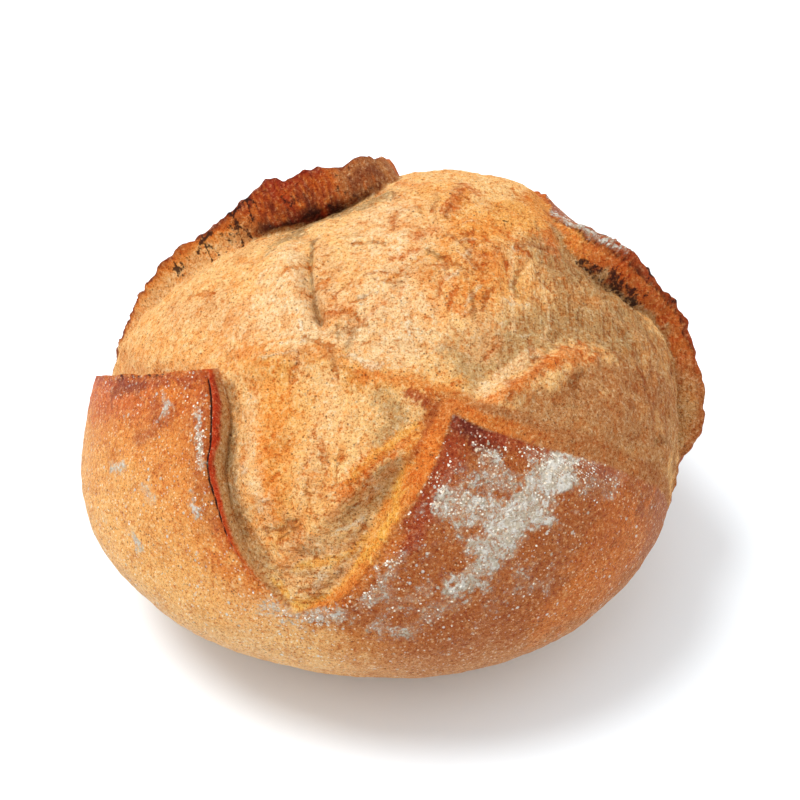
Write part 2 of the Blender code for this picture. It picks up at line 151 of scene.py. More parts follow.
# The edges in their order round the loaf, from the right tip. Every other one is run from tip to corner.
ROUND = (
    "back_right_side", "back_right_rear", "back_left_rear", "back_left_side",
    "front_left_top", "front_left_side", "front_right_side", "front_right_top",
)
LIP_REACH = 0.013        # how far back from its edge the crust curls up
LIP_CURL = 1.3           # and how sharply
RAGGED_SIZE = 0.009      # size of the bumps along a lip
RAGGED_SHARE = 0.20      # and their height as a share of its lift
SINK_REACH = 0.013       # how far from the edge the dough stays sunk
SINK_CURL = 1.5
FURROW_REACH = 0.0032    # half the width of the furrow at a torn face's foot
BAND_SHARE = 0.7         # the strip of plan that is drawn out into the torn face, as a share of its profile
BAND_LEAST = 0.0032
BAND_MOST = 0.0085
FACE_END = 0.62          # the share of that strip that the face takes, before its foot turns back under
FACE_FALL = 0.86         # the share of it over which the height falls to the foot
UNDERCUT_SHARE = 0.8     # how far a deeply undercut face runs out over its foot, not straight down to it
UNDERCUT_TURN = 0.0012   # the depth of undercut that goes half that way
SETTLE = 0.010           # the strip of dough beyond it that takes up the difference
BAND_ROOM = 0.40         # in a narrow place, the share of the way to the middle that the strip takes
FACE_ROOM = 0.60         # and the share that the face may reach
EDGE_BLEND = 0.0020      # how softly two edges pass into each other at a corner
EDGE_STEP = 0.5          # degrees between the points of a drawn edge
NEAR_ZERO = 1e-9
LEAST_TILT = 1e-6        # degrees, for the crown itself
SOLE_TILT = 150          # degrees, from which the sole counts as no narrower
NORMAL_STEP = 0.2        # degrees between the places that give a normal
LEAST_AREA = 1e-12

# Folds of the bloomed dough: places along each, its height, and how far it falls away to the left and right
FOLDS = (
    (((211, 44), (220, 36), (234, 30), (256, 31), (270, 34), (279, 36.5)), 0.0042, 0.012, 0.0045),
    (((276, 42), (265, 45), (258, 52), (253, 61)), 0.0044, 0.0032, 0.0060),
    (((286, 38), (296, 36), (309, 35), (320, 35), (329, 38)), 0.0048, 0.0036, 0.012),
    (((66, 26), (67, 16), (75, 9)), 0.0016, 0.004, 0.008),
    (((16, 15), (345, 13), (318, 18), (304, 26)), 0.0022, 0.004, 0.016),
    (((163, 27), (186, 25), (207, 26), (226, 29)), 0.0032, 0.0034, 0.010),
    (((222, 22), (227, 20), (233, 20)), 0.0012, 0.003, 0.002),
    (((80, 55), (76, 68)), 0.0020, 0.005, 0.005),
)
CREASES = (  # (places along it, depth, half its width)
    (((164, 22), (188, 22), (207, 23), (222, 25), (236, 28)), 0.0032, 0.0017),
    (((232, 20), (236, 24), (239, 27)), 0.0014, 0.0018),
    (((84, 44), (80, 60)), 0.0018, 0.0030),
)
FOLD_CURL = 1.5
FOLD_FADE = 0.18         # the share of a fold's run over which it rises at each end
FOLD_END = 0.35          # how high its very end is, as a share of the whole
CREASE_FADE = 0.25
LOBES = (  # wide hollows and swells of the dough: (bearing, tilt, spread in degrees, height)
    (261, 53, 6, -0.0022),
    (52, 35, 8, 0.0012),
    (254, 68, 6, -0.0014),
    (265, 41, 4, -0.0014),
    (240, 40, 8, -0.0010),
    (296, 28, 7, -0.0024),
    (340, 30, 11, -0.0032),
    (318, 52, 9, 0.0018),
    (184, 45, 13, 0.0010),
    (240, 8, 12, 0.0012),
    (234, 54, 7, 0.0020),
)
LUMPS = ((0.034, 0.0009), (0.013, 0.00045))   # size and height of the crust's own unevenness
CROWN_DENSITY = 0.57     # under 1, more of the mesh's points go to the crown than to the sole
FIRST_CUTS = 7           # subdivisions of the starting ball
FINE_MARGIN = 5.0        # degrees outside the torn edge up to which the mesh is cut once more

# Fine relief: (size, height) of each kind
SKIN_PIMPLES = ((0.0042, 0.00030), (0.0019, 0.00022))
DOUGH_CRUMBLE = ((0.0080, 0.00080), (0.0036, 0.00045), (0.0018, 0.00028))
FIBRES = (0.0019, 0.00050)
FIBRE_STRETCH = 7.0      # how much longer than wide the fibres are
FACE_LEDGES = (0.0040, 0.0013)
LEDGE_STRETCH = 2.5
LIP_CRUMBLE = (0.0030, 0.00120)
LIP_CRUMBLE_REACH = 0.0030
SEAM_OFFSET = (0.0011, 0.0004)   # the crack along the front left lip: its distance from the lip at each end
SEAM_HALF = 0.0005
SEAM_DEPTH = 0.0014
SEAM_END = 0.48                  # the share of the lip from which it closes up
SEAM_FADE = 0.9
RIM_RED_END = 0.72               # the share of the lip at which its red is gone
RIM_LINE = (0.20, 0.035)         # the dark line under the back right rim: share of the face, half its width
RIM_LINE_DEPTH = 0.0010
FLOUR_DEPTH = 0.00035
FACE_FADE = 0.25                 # the last share of a torn face, over which it takes the dough's colour
SKIN_FADE = 0.0008               # the width over which the skin's colour ends at a lip
FLOUR_FADE = 0.001               # and the flour on it
RED_LIP = 0.0009                 # half the width of the red line along the front left lip
DARK_LIP = 0.0011                # and of the dark one along the back left lip
LIP_RED_REACH = 0.006            # how far back from a back lip its skin is redder
# Where the skin changes colour, each as the degrees at which it does and the degrees that it takes
PASSAGE_RIGHT = (284, 44)        # below the tips, the bearing up to which the gold of the left reaches
PASSAGE_LEFT = (120, 40)         # and the bearing from which
PASSAGE_TILT = (78, 10)
HONEY_TILT = (68, 22)
WHEAT_TILT = (84, 22)
SOLE_WHEAT_TILT = (108, 20)
FRONT_ARM = (250, 30)            # the front arm of dough: the bearing of its middle, and half its width
FRONT_ARM_TILT = (28, 10)
SLAB_END = 156                   # the bearing at which the back left piece's raised slab ends
RIGHT_FOOT_END = 60              # the bearing at which the back right face's olive foot ends

COLOURS = {
    "cream": (255, 216, 160),
    "butter": (254, 203, 132),
    "wheat": (240, 186, 124),
    "sand": (208, 158, 100),
    "tan": (186, 126, 74),
    "honey": (246, 174, 84),
    "yolk": (250, 184, 80),
    "orange": (230, 132, 52),
    "amber": (216, 116, 44),
    "copper": (178, 98, 44),
    "brick": (166, 66, 30),
    "scarlet": (196, 62, 28),
    "maroon": (112, 40, 24),
    "char_and_shade": (66, 28, 18),
    "olive": (184, 148, 98),
    "moss": (138, 104, 62),
}
# Colour strokes on the dough: (colour, strength, half width, places along it), painted in this order
DOUGH_STROKES = (
    ("cream", 0.9, 0.017, ((205, 29), (230, 22), (252, 20), (249, 7), (118, 9))),
    # The sand, olive and tan strokes from here to the wide tan one darken the right arm, the hollow before
    # it and the lobe in front of it: partly their own browner colour, partly painted shade on the side
    # turned away from the lamp.
    ("sand", 0.85, 0.019, ((12, 30), (357, 33), (348, 45), (350, 62))),
    ("olive", 0.75, 0.010, ((292, 27), (314, 27), (340, 33), (345, 44))),
    ("olive", 0.65, 0.008, ((8, 26), (5, 38), (358, 50))),
    ("tan", 0.85, 0.0095, ((302, 42), (311, 44), (320, 50), (328, 58), (334, 68))),
    ("tan", 0.8, 0.0065, ((318, 41), (327, 43), (336, 50), (342, 59))),
    ("tan", 0.7, 0.0140, ((328, 52), (340, 60), (346, 70))),
    ("sand", 0.6, 0.005, ((1, 66), (356, 72), (343, 73), (338, 80))),
    ("wheat", 0.7, 0.0065, ((30, 10), (334, 9), (308, 17), (298, 24))),
    ("orange", 0.40, 0.0060, ((350, 14), (320, 14), (300, 14))),
    ("cream", 0.85, 0.0050, ((170, 26), (192, 25), (210, 26), (223, 29))),
    ("honey", 0.6, 0.0030, ((213, 23), (222, 22), (228, 23))),
    ("honey", 0.5, 0.0030, ((199, 18), (210, 17))),
    ("amber", 0.4, 0.0014, ((222, 23), (228, 22))),
    # Painted shade down in the short crease.
    ("moss", 0.45, 0.0014, ((237, 23), (239, 25), (241, 28))),
    ("orange", 0.55, 0.0024, ((99, 26), (92, 22), (85, 19))),
    ("honey", 0.50, 0.0090, ((60, 10), (85, 18), (350, 4))),
    ("honey", 0.60, 0.0100, ((290, 8), (310, 14), (335, 18))),
    ("amber", 0.65, 0.0022, ((66, 22), (63, 16), (70, 11))),
    ("orange", 0.35, 0.0060, ((30, 16), (34, 25))),
    ("wheat", 0.6, 0.0060, ((184, 40), (196, 38), (178, 50))),
    ("honey", 0.8, 0.0085, ((28, 12), (34, 20), (31, 27), (24, 30))),
    ("amber", 0.7, 0.0040, ((12, 27), (18, 27), (22, 31))),
    ("tan", 0.8, 0.0011, ((10, 18), (12, 23), (12, 30), (8, 38))),
    ("moss", 0.6, 0.0011, ((288, 1), (310, 4))),
    ("cream", 0.6, 0.0009, ((8, 17), (331, 19), (314, 25))),
    ("cream", 0.5, 0.0008, ((350, 24), (335, 28), (322, 30))),
    # These two strokes are painted shadow: the shade that the raised back left slab casts on the dough at
    # its foot.
    ("olive", 0.85, 0.0034, ((160, 29), (147, 27), (134, 24), (121, 21.5), (109, 21.5))),
    ("moss", 0.5, 0.0016, ((150, 28.5), (138, 26), (126, 24), (114, 23.5))),
    # Painted shade in the dent on the front arm below its top ridge.
    ("olive", 0.6, 0.0036, ((258, 33), (264, 37), (262, 42))),
    ("honey", 0.65, 0.0036, ((209, 41), (222, 35), (234, 30), (249, 31))),
    ("orange", 0.30, 0.0016, ((209, 40), (222, 34), (234, 30), (249, 31))),
    ("honey", 0.75, 0.0040, ((249, 31), (266, 31), (281, 32))),
    ("orange", 0.6, 0.0022, ((252, 31), (266, 31), (281, 32))),
    ("amber", 0.7, 0.0024, ((268, 33), (274, 34), (283, 34))),
    ("brick", 0.8, 0.0016, ((267, 33), (272, 34), (274, 36))),
    ("orange", 0.85, 0.0022, ((288, 37), (297, 36), (307, 35), (316, 34))),
    ("orange", 0.8, 0.0034, ((315, 35), (323, 36), (329, 38))),
    ("cream", 0.75, 0.0022, ((292, 33.5), (304, 31), (315, 31))),
    ("honey", 0.7, 0.0055, ((224, 38), (231, 44), (237, 51), (242, 57), (248, 64))),
    ("orange", 0.5, 0.0040, ((232, 46), (238, 53), (243, 60))),
    ("honey", 0.45, 0.0120, ((234, 40), (241, 48), (246, 58))),
    ("cream", 0.35, 0.0040, ((238, 35), (245, 40), (246, 46), (248, 54))),
    # Painted shade in the dent below the front arm's diagonal ridge.
    ("olive", 0.60, 0.0038, ((267, 44), (263, 49), (260, 55), (263, 54), (267, 49))),
    ("wheat", 0.45, 0.0016, ((266, 46), (262, 51), (260, 56))),
    # From here to the moss stroke, darker strokes over the hollow at the front arm's low end: partly its
    # own tone, partly painted shade in that hollow.
    ("wheat", 0.8, 0.0044, ((250, 70), (257, 68), (263, 62))),
    ("sand", 0.4, 0.0030, ((251, 68), (257, 67), (263, 62))),
    ("olive", 0.35, 0.0018, ((250, 71), (257, 70), (263, 64))),
    ("moss", 0.25, 0.0010, ((252, 62), (256, 63), (261, 60))),
    ("cream", 0.75, 0.0042, ((250, 65), (256, 66), (260, 67))),
    ("wheat", 0.6, 0.0036, ((250, 73), (257, 73), (262, 69))),
    ("wheat", 0.5, 0.0030, ((247, 60), (251, 64), (256, 62))),
    ("orange", 0.85, 0.0028, ((273, 38), (268, 41), (263, 43), (259, 47), (256, 52))),
    # A painted highlight along the crest of the front arm's diagonal ridge.
    ("yolk", 0.6, 0.0014, ((270, 38), (265, 41), (260, 45), (257, 50))),
    ("amber", 0.5, 0.0013, ((263, 44), (259, 48), (257, 53), (255, 58))),
    ("yolk", 0.75, 0.0016, ((268, 54), (265, 60), (259, 66), (252, 69))),
    # The wheat, olive and moss strokes along the front left lip are painted shadow that the lip casts on
    # the dough beside it.
    ("wheat", 0.6, 0.0040, ((214, 45), (220, 49.5), (227, 55), (233, 61), (239, 67), (244, 71))),
    ("olive", 0.6, 0.0030, ((214, 45), (220, 49.5), (227, 55), (233, 61), (239, 67), (244, 71), (249, 75))),
    ("moss", 0.45, 0.0014, ((218, 48), (227, 55), (233, 61), (239, 67))),
    ("cream", 0.6, 0.0022, ((222, 43), (230, 50), (237, 56), (243, 62))),
    ("yolk", 0.8, 0.0022, ((248, 75), (253, 77.5), (258, 77), (261, 74))),
    # Painted shade along the long crease over the left arm: a wheat band on its side turned from the lamp,
    # and a thin moss line down in it.
    ("wheat", 0.8, 0.0030, ((168, 20), (190, 19), (208, 20), (222, 22))),
    ("moss", 0.7, 0.0008, ((163, 22), (175, 21.6), (190, 21.8), (207, 23), (220, 25))),
    ("amber", 0.6, 0.0014, ((222, 22), (229, 20))),
    # Painted shade down in the short crease.
    ("moss", 0.6, 0.0009, ((230, 24), (235, 26))),
    ("amber", 0.6, 0.0018, ((60, 21), (66, 17), (66, 13))),
    ("amber", 0.5, 0.0016, ((120, 3), (70, 6))),
)
# Colour strokes on the torn faces and the crust
FACE_STROKES = (
    # The first three rows are a painted highlight: a bright yellow line along the foot of the front right
    # piece's facet.
    ("honey", 0.9, 0.0018, ((269, 35), (268, 39), (267, 43), (267, 47))),
    ("yolk", 0.9, 0.0014, ((267, 47), (268, 52), (268, 55), (266, 60))),
    ("yolk", 0.85, 0.0013, ((267, 59), (265, 63), (261, 69), (258, 75), (255, 77.5))),
    ("orange", 0.6, 0.0016, ((263, 71), (261, 75), (257, 78.5))),
    ("tan", 0.85, 0.0044, ((119, 28), (112, 28), (104, 29), (98, 32))),
    ("orange", 0.8, 0.0020, ((124, 30), (116, 30.5), (108, 31))),
    ("maroon", 0.6, 0.0012, ((120, 27), (112, 27), (105, 28))),
    ("brick", 0.6, 0.0012, ((276, 35), (273, 40), (270, 45))),
    ("honey", 0.65, 0.0080, ((35, 27), (28, 33), (22, 33))),
    ("orange", 0.5, 0.0030, ((34, 27), (26, 31), (20, 33))),
    ("honey", 0.7, 0.0070, ((46, 35), (38, 31))),
    ("moss", 0.6, 0.0014, ((9, 37), (7, 41), (6, 45))),
    ("scarlet", 0.45, 0.0045, ((140, 35), (134, 34), (128, 33))),
)
SKIN_STROKES = (
    ("orange", 0.7, 0.0130, ((205, 66), (214, 66), (222, 68))),
    ("orange", 0.5, 0.0100, ((236, 76), (245, 83))),
    ("brick", 0.7, 0.0038, ((212, 49), (220, 54), (227, 60), (233, 66))),
    ("butter", 0.55, 0.0160, ((210, 80), (225, 84), (238, 90), (255, 94))),
    ("honey", 0.35, 0.0200, ((198, 68), (212, 66), (224, 70))),
    ("honey", 0.30, 0.0160, ((205, 78), (220, 80), (235, 84))),
    ("amber", 0.75, 0.0070, ((176, 80), (186, 73), (194, 65), (203, 57), (208, 51))),
    ("brick", 0.7, 0.0026, ((175, 80), (186, 69), (194, 60), (203, 52), (208, 47))),
    ("orange", 0.9, 0.0028, ((178, 80), (188, 70), (197, 61), (206, 53))),
    ("scarlet", 0.35, 0.0050, ((177, 80), (188, 70), (198, 60))),
    ("maroon", 0.6, 0.0022, ((190, 66), (196, 59))),
    ("brick", 0.55, 0.0026, ((203, 58), (209, 56), (206, 64))),
    ("maroon", 0.98, 0.0058, ((283, 38), (287, 41), (292, 43))),
    ("brick", 0.9, 0.0046, ((281, 43), (278, 48), (275, 55), (272, 61))),
    ("brick", 0.6, 0.0030, ((291, 43), (303, 49), (312, 55), (321, 63))),
    ("amber", 0.5, 0.0090, ((318, 70), (312, 78))),
    ("orange", 0.5, 0.0100, ((322, 82), (314, 86), (306, 88))),
    ("orange", 0.6, 0.0026, ((270, 60), (267, 66), (264, 71), (260, 77))),
)
# Strokes of flour on the crust: (strength, half width, places along it)
FLOUR_STROKES = (
    (0.94, 0.0080, ((292, 62), (298, 58), (304, 55), (308, 52))),
    (0.90, 0.0060, ((280, 54), (285, 56), (291, 58))),
    (0.70, 0.0030, ((290, 52), (296, 53), (303, 53))),
    (0.68, 0.0034, ((289, 46), (291, 48), (289, 51))),
    (0.85, 0.0060, ((294, 62), (289, 66), (285, 71))),
    (0.50, 0.0026, ((300, 48), (309, 53), (315, 58))),
    (0.55, 0.0034, ((283, 74), (279, 78))),
    (0.55, 0.0034, ((270, 72), (273, 74), (277, 72))),
    (0.55, 0.0028, ((269, 81), (276, 83))),
    (0.52, 0.0034, ((296, 76), (301, 78))),
    (0.50, 0.0070, ((309, 56), (318, 62))),
    (0.68, 0.0034, ((249, 80), (256, 80), (263, 79))),
    (0.62, 0.0042, ((271, 65), (269, 70), (267, 75))),
    (0.36, 0.0200, ((284, 56), (295, 66))),
    (0.30, 0.0150, ((275, 78), (290, 82))),
    (0.18, 0.0160, ((205, 60), (215, 68))),
    (0.85, 0.0024, ((204, 74), (206, 72))),
    (0.70, 0.0020, ((215, 70), (218, 70))),
    (0.70, 0.0018, ((226, 64), (229, 66))),
    (0.70, 0.0019, ((204, 55), (207, 56))),
    (0.70, 0.0015, ((215, 51), (220, 54), (225, 58))),
    (0.65, 0.0018, ((216, 80), (220, 82))),
    (0.60, 0.0016, ((207, 84), (209, 84))),
    (0.75, 0.0040, ((34, 36), (28, 41), (20, 45))),
    (0.45, 0.0040, ((60, 50), (40, 56))),
)
RIM_FLOUR_STROKES = (
    (0.9, 0.0040, ((27, 34), (22, 36), (17, 38), (13, 40))),
)
CHAR_STROKES = (
    (0.36, 0.0010, ((146, 35), (152, 39), (157, 47), (160, 55), (161, 63))),
    (0.5, 0.0010, ((186, 67), (194, 58), (202, 51))),
    (0.4, 0.0016, ((118, 28), (132, 29), (143, 32))),
    (0.55, 0.0014, ((154, 32), (148, 29), (141, 26), (134, 24))),
    (0.6, 0.0012, ((24, 38), (16, 43), (11, 50), (8, 60))),
    (0.75, 0.0007, ((31, 19), (34, 18))),
    (0.7, 0.0011, ((12, 34), (10, 38), (8, 43), (6, 52))),
)
# Star-shaped cracks burnt black: (bearing, tilt, half their width in degrees)
CHAR_STARS = ((152, 41, 2.0), (157, 47, 2.2), (161, 54, 1.6), (148, 38, 1.6))
STAR_TURNS = (15, 75, 140)
STAR_HALF = 0.0004
STAR_STRENGTH = 0.72
MOTTLE_STROKES = (
    (0.9, 0.014, ((169, 73), (187, 55), (198, 45), (205, 38))),
    (0.6, 0.012, ((175, 49), (180, 36), (205, 31))),
    (0.8, 0.011, ((278, 14), (320, 12), (20, 12))),
    (0.6, 0.012, ((232, 20), (120, 10))),
    (0.8, 0.010, ((222, 40), (240, 56), (250, 66))),
    (0.6, 0.020, ((350, 35), (350, 60))),
    (0.6, 0.015, ((80, 30), (78, 60))),
)
FIBRE_STROKES = (
    (1.0, 0.022, ((350, 25), (352, 45), (352, 66))),
    (0.8, 0.010, ((310, 26), (330, 26))),
    (1.0, 0.012, ((248, 62), (258, 64), (254, 72))),
    (0.7, 0.008, ((262, 50), (258, 58))),
    (0.5, 0.012, ((230, 24), (250, 20))),
)
FIBRE_LEAST = 0.15
# Short flakes of the drawn-out dough, strewn by chance: (middle, spread in degrees, how many, the way they
# lie and how far they turn from it in degrees, colours)
FLAKE_ZONES = (
    ((330, 9), 9, 46, 80, 50, ("orange", "honey", "tan", "cream")),
    ((215, 12), 8, 16, 80, 60, ("sand", "honey", "cream")),
    ((240, 24), 6, 14, 60, 60, ("honey", "cream", "sand")),
    ((60, 18), 8, 20, 100, 60, ("honey", "tan", "orange")),
    ((185, 45), 13, 10, 100, 70, ("honey", "wheat", "cream")),
    ((345, 38), 14, 34, 100, 30, ("tan", "olive", "moss")),
    ((318, 50), 9, 10, 100, 60, ("tan", "olive")),
    ((243, 48), 9, 36, 80, 30, ("honey", "orange", "cream")),
    ((258, 66), 7, 24, 10, 30, ("sand", "moss", "cream")),
)
FLAKE_LENGTH = (1.0, 3.4)        # degrees
FLAKE_HALF = (0.0005, 0.0014)
FLAKE_BEND = 0.3                 # how far its middle lies off the straight line, in degrees
FLAKE_STRENGTH = (0.15, 0.50)
TEAR_SHARE = (0.20, 0.85)
FLAKE_HEIGHT = 0.00045
STROKE_STEP = 1.5        # degrees between the points of a stroke
STROKE_END = 1.5         # in half widths, how far out it fades to nothing
STROKE_RAGGED = 0.60     # how uneven its sides are
STROKE_RAGGED_SIZE = 0.0050
STROKE_BREAK = 0.75      # how far it breaks up into specks
STROKE_BREAK_SIZE = 0.0016
STROKE_SPECKS = 0.35     # how much of it is fine specks
STROKE_BREAK_HALF = 0.0036       # the half width from which a stroke keeps more and more whole
SEED = 7

# Loose lumps of flour on the crust
GRAIN_COUNT = 2600
GRAIN_SIZES = (0.0002, 0.0011)
GRAIN_FEWER_LARGE = 2.5          # above 1, small ones are more common
GRAIN_FLATNESS = 0.5
GRAIN_UNEVEN = (0.6, 1.3)        # how far a lump's corners lie in and out
GRAIN_SINK = 0.1                 # the share of its size that a lump is sunk into the crust
GRAIN_CORNER = (0.5, 0.81)       # corner of the even lump, before it is made uneven
GRAIN_COLOUR = (228, 222, 208)
GRAIN_SHADE = (206, 186, 160)

# Light, floor and camera
TARGET = (0.0031, 0.0003, 0.0642)
CAMERA_DISTANCE = 0.780
CAMERA_ELEVATION = 42.0
LENS = 100.0
SENSOR = 36.0
FLOOR_SIZE = 12.0
WORLD_LIGHT = 1.02
KEY_LIGHT = 2.30
KEY_FROM = (-0.45, 0.10, 1.0)
KEY_SOFTNESS = 30.0
FLOOR_COLOUR = (0.885, 0.94, 0.98)   # linear light, cooler than white to offset the loaf's warm glow


def unit(bearing, tilt):
    """Direction of a place on the crust."""
    b, t = math.radians(bearing), math.radians(tilt)
    return np.array([math.sin(t) * math.cos(b), math.sin(t) * math.sin(b), math.cos(t)])


def plan_of(directions):
    """The plan's points for directions: tilt in degrees as the distance from the crown."""
    bearing = np.arctan2(directions[:, 1], directions[:, 0])
    tilt = np.degrees(np.arctan2(np.hypot(directions[:, 0], directions[:, 1]), directions[:, 2]))
    return np.stack([tilt * np.cos(bearing), tilt * np.sin(bearing)], axis=-1)


def place(bearing, tilt):
    """One place as a point of the plan."""
    b = math.radians(bearing)
    return np.array([tilt * math.cos(b), tilt * math.sin(b)])


def beside(bearing, tilt, reach, turn):
    """A place reach degrees away from another, in the plan's direction turn."""
    x, y = place(bearing, tilt)
    x += reach * math.cos(math.radians(turn))
    y += reach * math.sin(math.radians(turn))
    return math.degrees(math.atan2(y, x)), math.hypot(x, y)


def directions_of(plan):
    """Directions of the plan's points."""
    tilt = np.hypot(plan[:, 0], plan[:, 1])
    t = np.radians(tilt)
    share = np.where(tilt > NEAR_ZERO, np.sin(t) / np.maximum(tilt, NEAR_ZERO), math.pi / 180)
    return np.stack([plan[:, 0] * share, plan[:, 1] * share, np.cos(t)], axis=-1)


def metres_per_degree(plan):
    """Length of one degree of the plan on the loaf, across the way to the crown."""
    tilt = np.maximum(np.hypot(plan[:, 0], plan[:, 1]), LEAST_TILT)
    return (HALF_WIDTH + HALF_DEPTH) / 2 * np.sin(np.radians(np.minimum(tilt, SOLE_TILT))) / tilt


def ball_form(plan):
    """The loaf's smooth form, with no crust detail."""
    q = directions_of(plan)
    rise = np.where(q[:, 2] > 0, CROWN_RISE, BELLY_DROP)
    at = np.stack([HALF_WIDTH * q[:, 0], HALF_DEPTH * q[:, 1], WAIST_HEIGHT + rise * q[:, 2]], axis=-1)
    at[:, 0] += CROWN_LEAN * np.clip(q[:, 2], 0, 1) + CENTRE_SHIFT[0]
    at[:, 1] += CENTRE_SHIFT[1]
    for bearing, tilt, spread, amount in SWELLS:
        away = np.degrees(np.arccos(np.clip(q @ unit(bearing, tilt), -1, 1)))
        at += (amount * np.exp(-((away / spread) ** 2) / 2))[:, None] * q
    return at


def soft_floor(at):
    """Flattens the underside: nothing goes below Z = 0, and the sole meets the belly in a soft curve."""
    low = np.clip((at[:, 2] + SOLE_ROUNDING) / (2 * SOLE_ROUNDING), 0, 1)
    at[:, 2] = np.where(at[:, 2] < SOLE_ROUNDING, SOLE_ROUNDING * low * low, at[:, 2])
    return at


def outward(plan):
    """Outward normals of the smooth form."""
    dx, dy = np.array([NORMAL_STEP, 0.0]), np.array([0.0, NORMAL_STEP])
    along_x = ball_form(plan + dx) - ball_form(plan - dx)
    along_y = ball_form(plan + dy) - ball_form(plan - dy)
    n = np.cross(along_x, along_y)
    return n / np.maximum(np.linalg.norm(n, axis=1), LEAST_AREA)[:, None]


def drawn(places, step=EDGE_STEP):
    """A smooth line through places: its plan points, the share of the run at each and at each place."""
    points = np.array([place(*p) for p in places])
    ends = np.vstack([2 * points[0] - points[1], points, 2 * points[-1] - points[-2]])
    line = []
    stops = [0]
    for a, b, c, d in zip(ends, ends[1:], ends[2:], ends[3:]):
        n = max(2, int(np.linalg.norm(c - b) / step))
        t = (np.arange(n) / n)[:, None]
        bend = (2 * a - 5 * b + 4 * c - d) * t**2 + (3 * b - a - 3 * c + d) * t**3
        line.append(0.5 * (2 * b + (c - a) * t + bend))
        stops.append(stops[-1] + n)
    line.append(points[-1:])
    line = np.vstack(line)
    along = np.concatenate([[0], np.cumsum(np.linalg.norm(np.diff(line, axis=0), axis=1))])
    shares = along / along[-1]
    return line, shares, shares[stops]


def nearest_on(line, shares, plan):
    """For each plan point: offset from the line's nearest point, its share of the run, and its side."""
    starts, runs = line[:-1], np.diff(line, axis=0)
    lengths = (runs**2).sum(1)
    best = np.full(len(plan), np.inf)
    offset = np.zeros_like(plan)
    share = np.zeros(len(plan))
    side = np.zeros(len(plan))
    for start, run, length, s0, s1 in zip(starts, runs, lengths, shares, shares[1:]):
        t = np.clip((plan - start) @ run / length, 0, 1)
        away = plan - start - t[:, None] * run
        far = (away**2).sum(1)
        nearer = far < best
        best = np.where(nearer, far, best)
        offset[nearer] = away[nearer]
        share[nearer] = (s0 + t * (s1 - s0))[nearer]
        turn = run[0] * away[:, 1] - run[1] * away[:, 0]
        side[nearer] = np.sign(turn[nearer])
    return offset, share, side


def inside(outline, plan):
    """Whether each plan point is inside the closed outline."""
    found = np.zeros(len(plan), bool)
    for (x0, y0), (x1, y1) in zip(outline, np.roll(outline, -1, axis=0)):
        if y0 == y1:
            continue
        crosses = (y0 > plan[:, 1]) != (y1 > plan[:, 1])
        found ^= crosses & (plan[:, 0] < x0 + (plan[:, 1] - y0) * (x1 - x0) / (y1 - y0))
    return found


def smooth_step(x):
    """Goes softly from 0 to 1."""
    x = np.clip(x, 0, 1)
    return x * x * (3 - 2 * x)


def whole_outline(runs):
    """The cross's torn outline as one closed run of plan points."""
    lines = [runs[name][0] for name in ROUND]
    return np.vstack([line[::-1] if i % 2 == 0 else line for i, line in enumerate(lines)])


def edges_near(plan):
    """About the torn outline: signed distance in metres (crust positive), the way to the crust on the plan,
    the room from the nearest crust to the middle of the opening, the edge values, and each edge's share and
    run there."""
    runs = {name: drawn([row[0] for row in rows]) for name, rows in EDGES.items()}
    sign = np.where(inside(whole_outline(runs), plan), -1.0, 1.0)
    scale = metres_per_degree(plan)
    found = {}
    by_piece = {}
    for name in ROUND:
        line, shares, stops = runs[name]
        offset, share, _ = nearest_on(line, shares, plan)
        far = np.linalg.norm(offset, axis=1) * scale
        found[name] = (far, offset, share, stops)
        piece = name.rsplit("_", 1)[0]
        by_piece[piece] = np.minimum(far, by_piece.get(piece, np.inf))
    nearest, second = np.sort(list(by_piece.values()), axis=0)[:2]
    total = np.zeros(len(plan))
    way = np.zeros_like(plan)
    values = {key: np.zeros(len(plan)) for key in EDGE_VALUES}
    weights = {}
    for name, (far, offset, share, stops) in found.items():
        weight = np.exp(-(far - nearest) / EDGE_BLEND)
        weights[name] = weight
        total += weight
        way += (weight * sign / np.maximum(np.linalg.norm(offset, axis=1), NEAR_ZERO))[:, None] * offset
        for column, key in enumerate(EDGE_VALUES, 1):
            values[key] += weight * np.interp(share, stops, [row[column] for row in EDGES[name]])
    for key in values:
        values[key] /= total
    near = {name: weights[name] / total for name in weights}
    run = {name: found[name][2] for name in found}
    way /= np.maximum(np.linalg.norm(way, axis=1), NEAR_ZERO)[:, None]
    return SimpleNamespace(
        distance=sign * nearest, way=way, room=(nearest + second) / 2, values=values, near=near, run=run
    )


def dough_relief(plan):
    """Height of the bloomed dough's folds, creases and lobes, in metres."""
    scale = metres_per_degree(plan)
    height = np.zeros(len(plan))
    for places, top, left, right in FOLDS:
        line, shares, _ = drawn(places)
        offset, share, side = nearest_on(line, shares, plan)
        far = np.linalg.norm(offset, axis=1) * scale
        width = np.where(side > 0, left, right)
        ends = smooth_step(share / FOLD_FADE) * smooth_step((1 - share) / FOLD_FADE)
        rise = top * (FOLD_END + (1 - FOLD_END) * ends)
        height = np.maximum(height, rise * np.exp(-((far / width) ** FOLD_CURL)))
    for places, depth, half in CREASES:
        line, shares, _ = drawn(places)
        offset, share, _ = nearest_on(line, shares, plan)
        far = np.linalg.norm(offset, axis=1) * scale
        ends = smooth_step(share / CREASE_FADE) * smooth_step((1 - share) / CREASE_FADE)
        height -= depth * ends * np.exp(-((far / half) ** 2))
    q = directions_of(plan)
    for bearing, tilt, spread, top in LOBES:
        away = np.degrees(np.arccos(np.clip(q @ unit(bearing, tilt), -1, 1)))
        height += top * np.exp(-((away / spread) ** 2))
    return height


def bumps(at, size, stretch=(1, 1, 1)):
    """Smooth unevenness from -1 to 1, with bumps of one size, longer along an axis that is stretched."""
    return np.array([noise.noise(Vector(p)) for p in at / (size * np.array(stretch))])


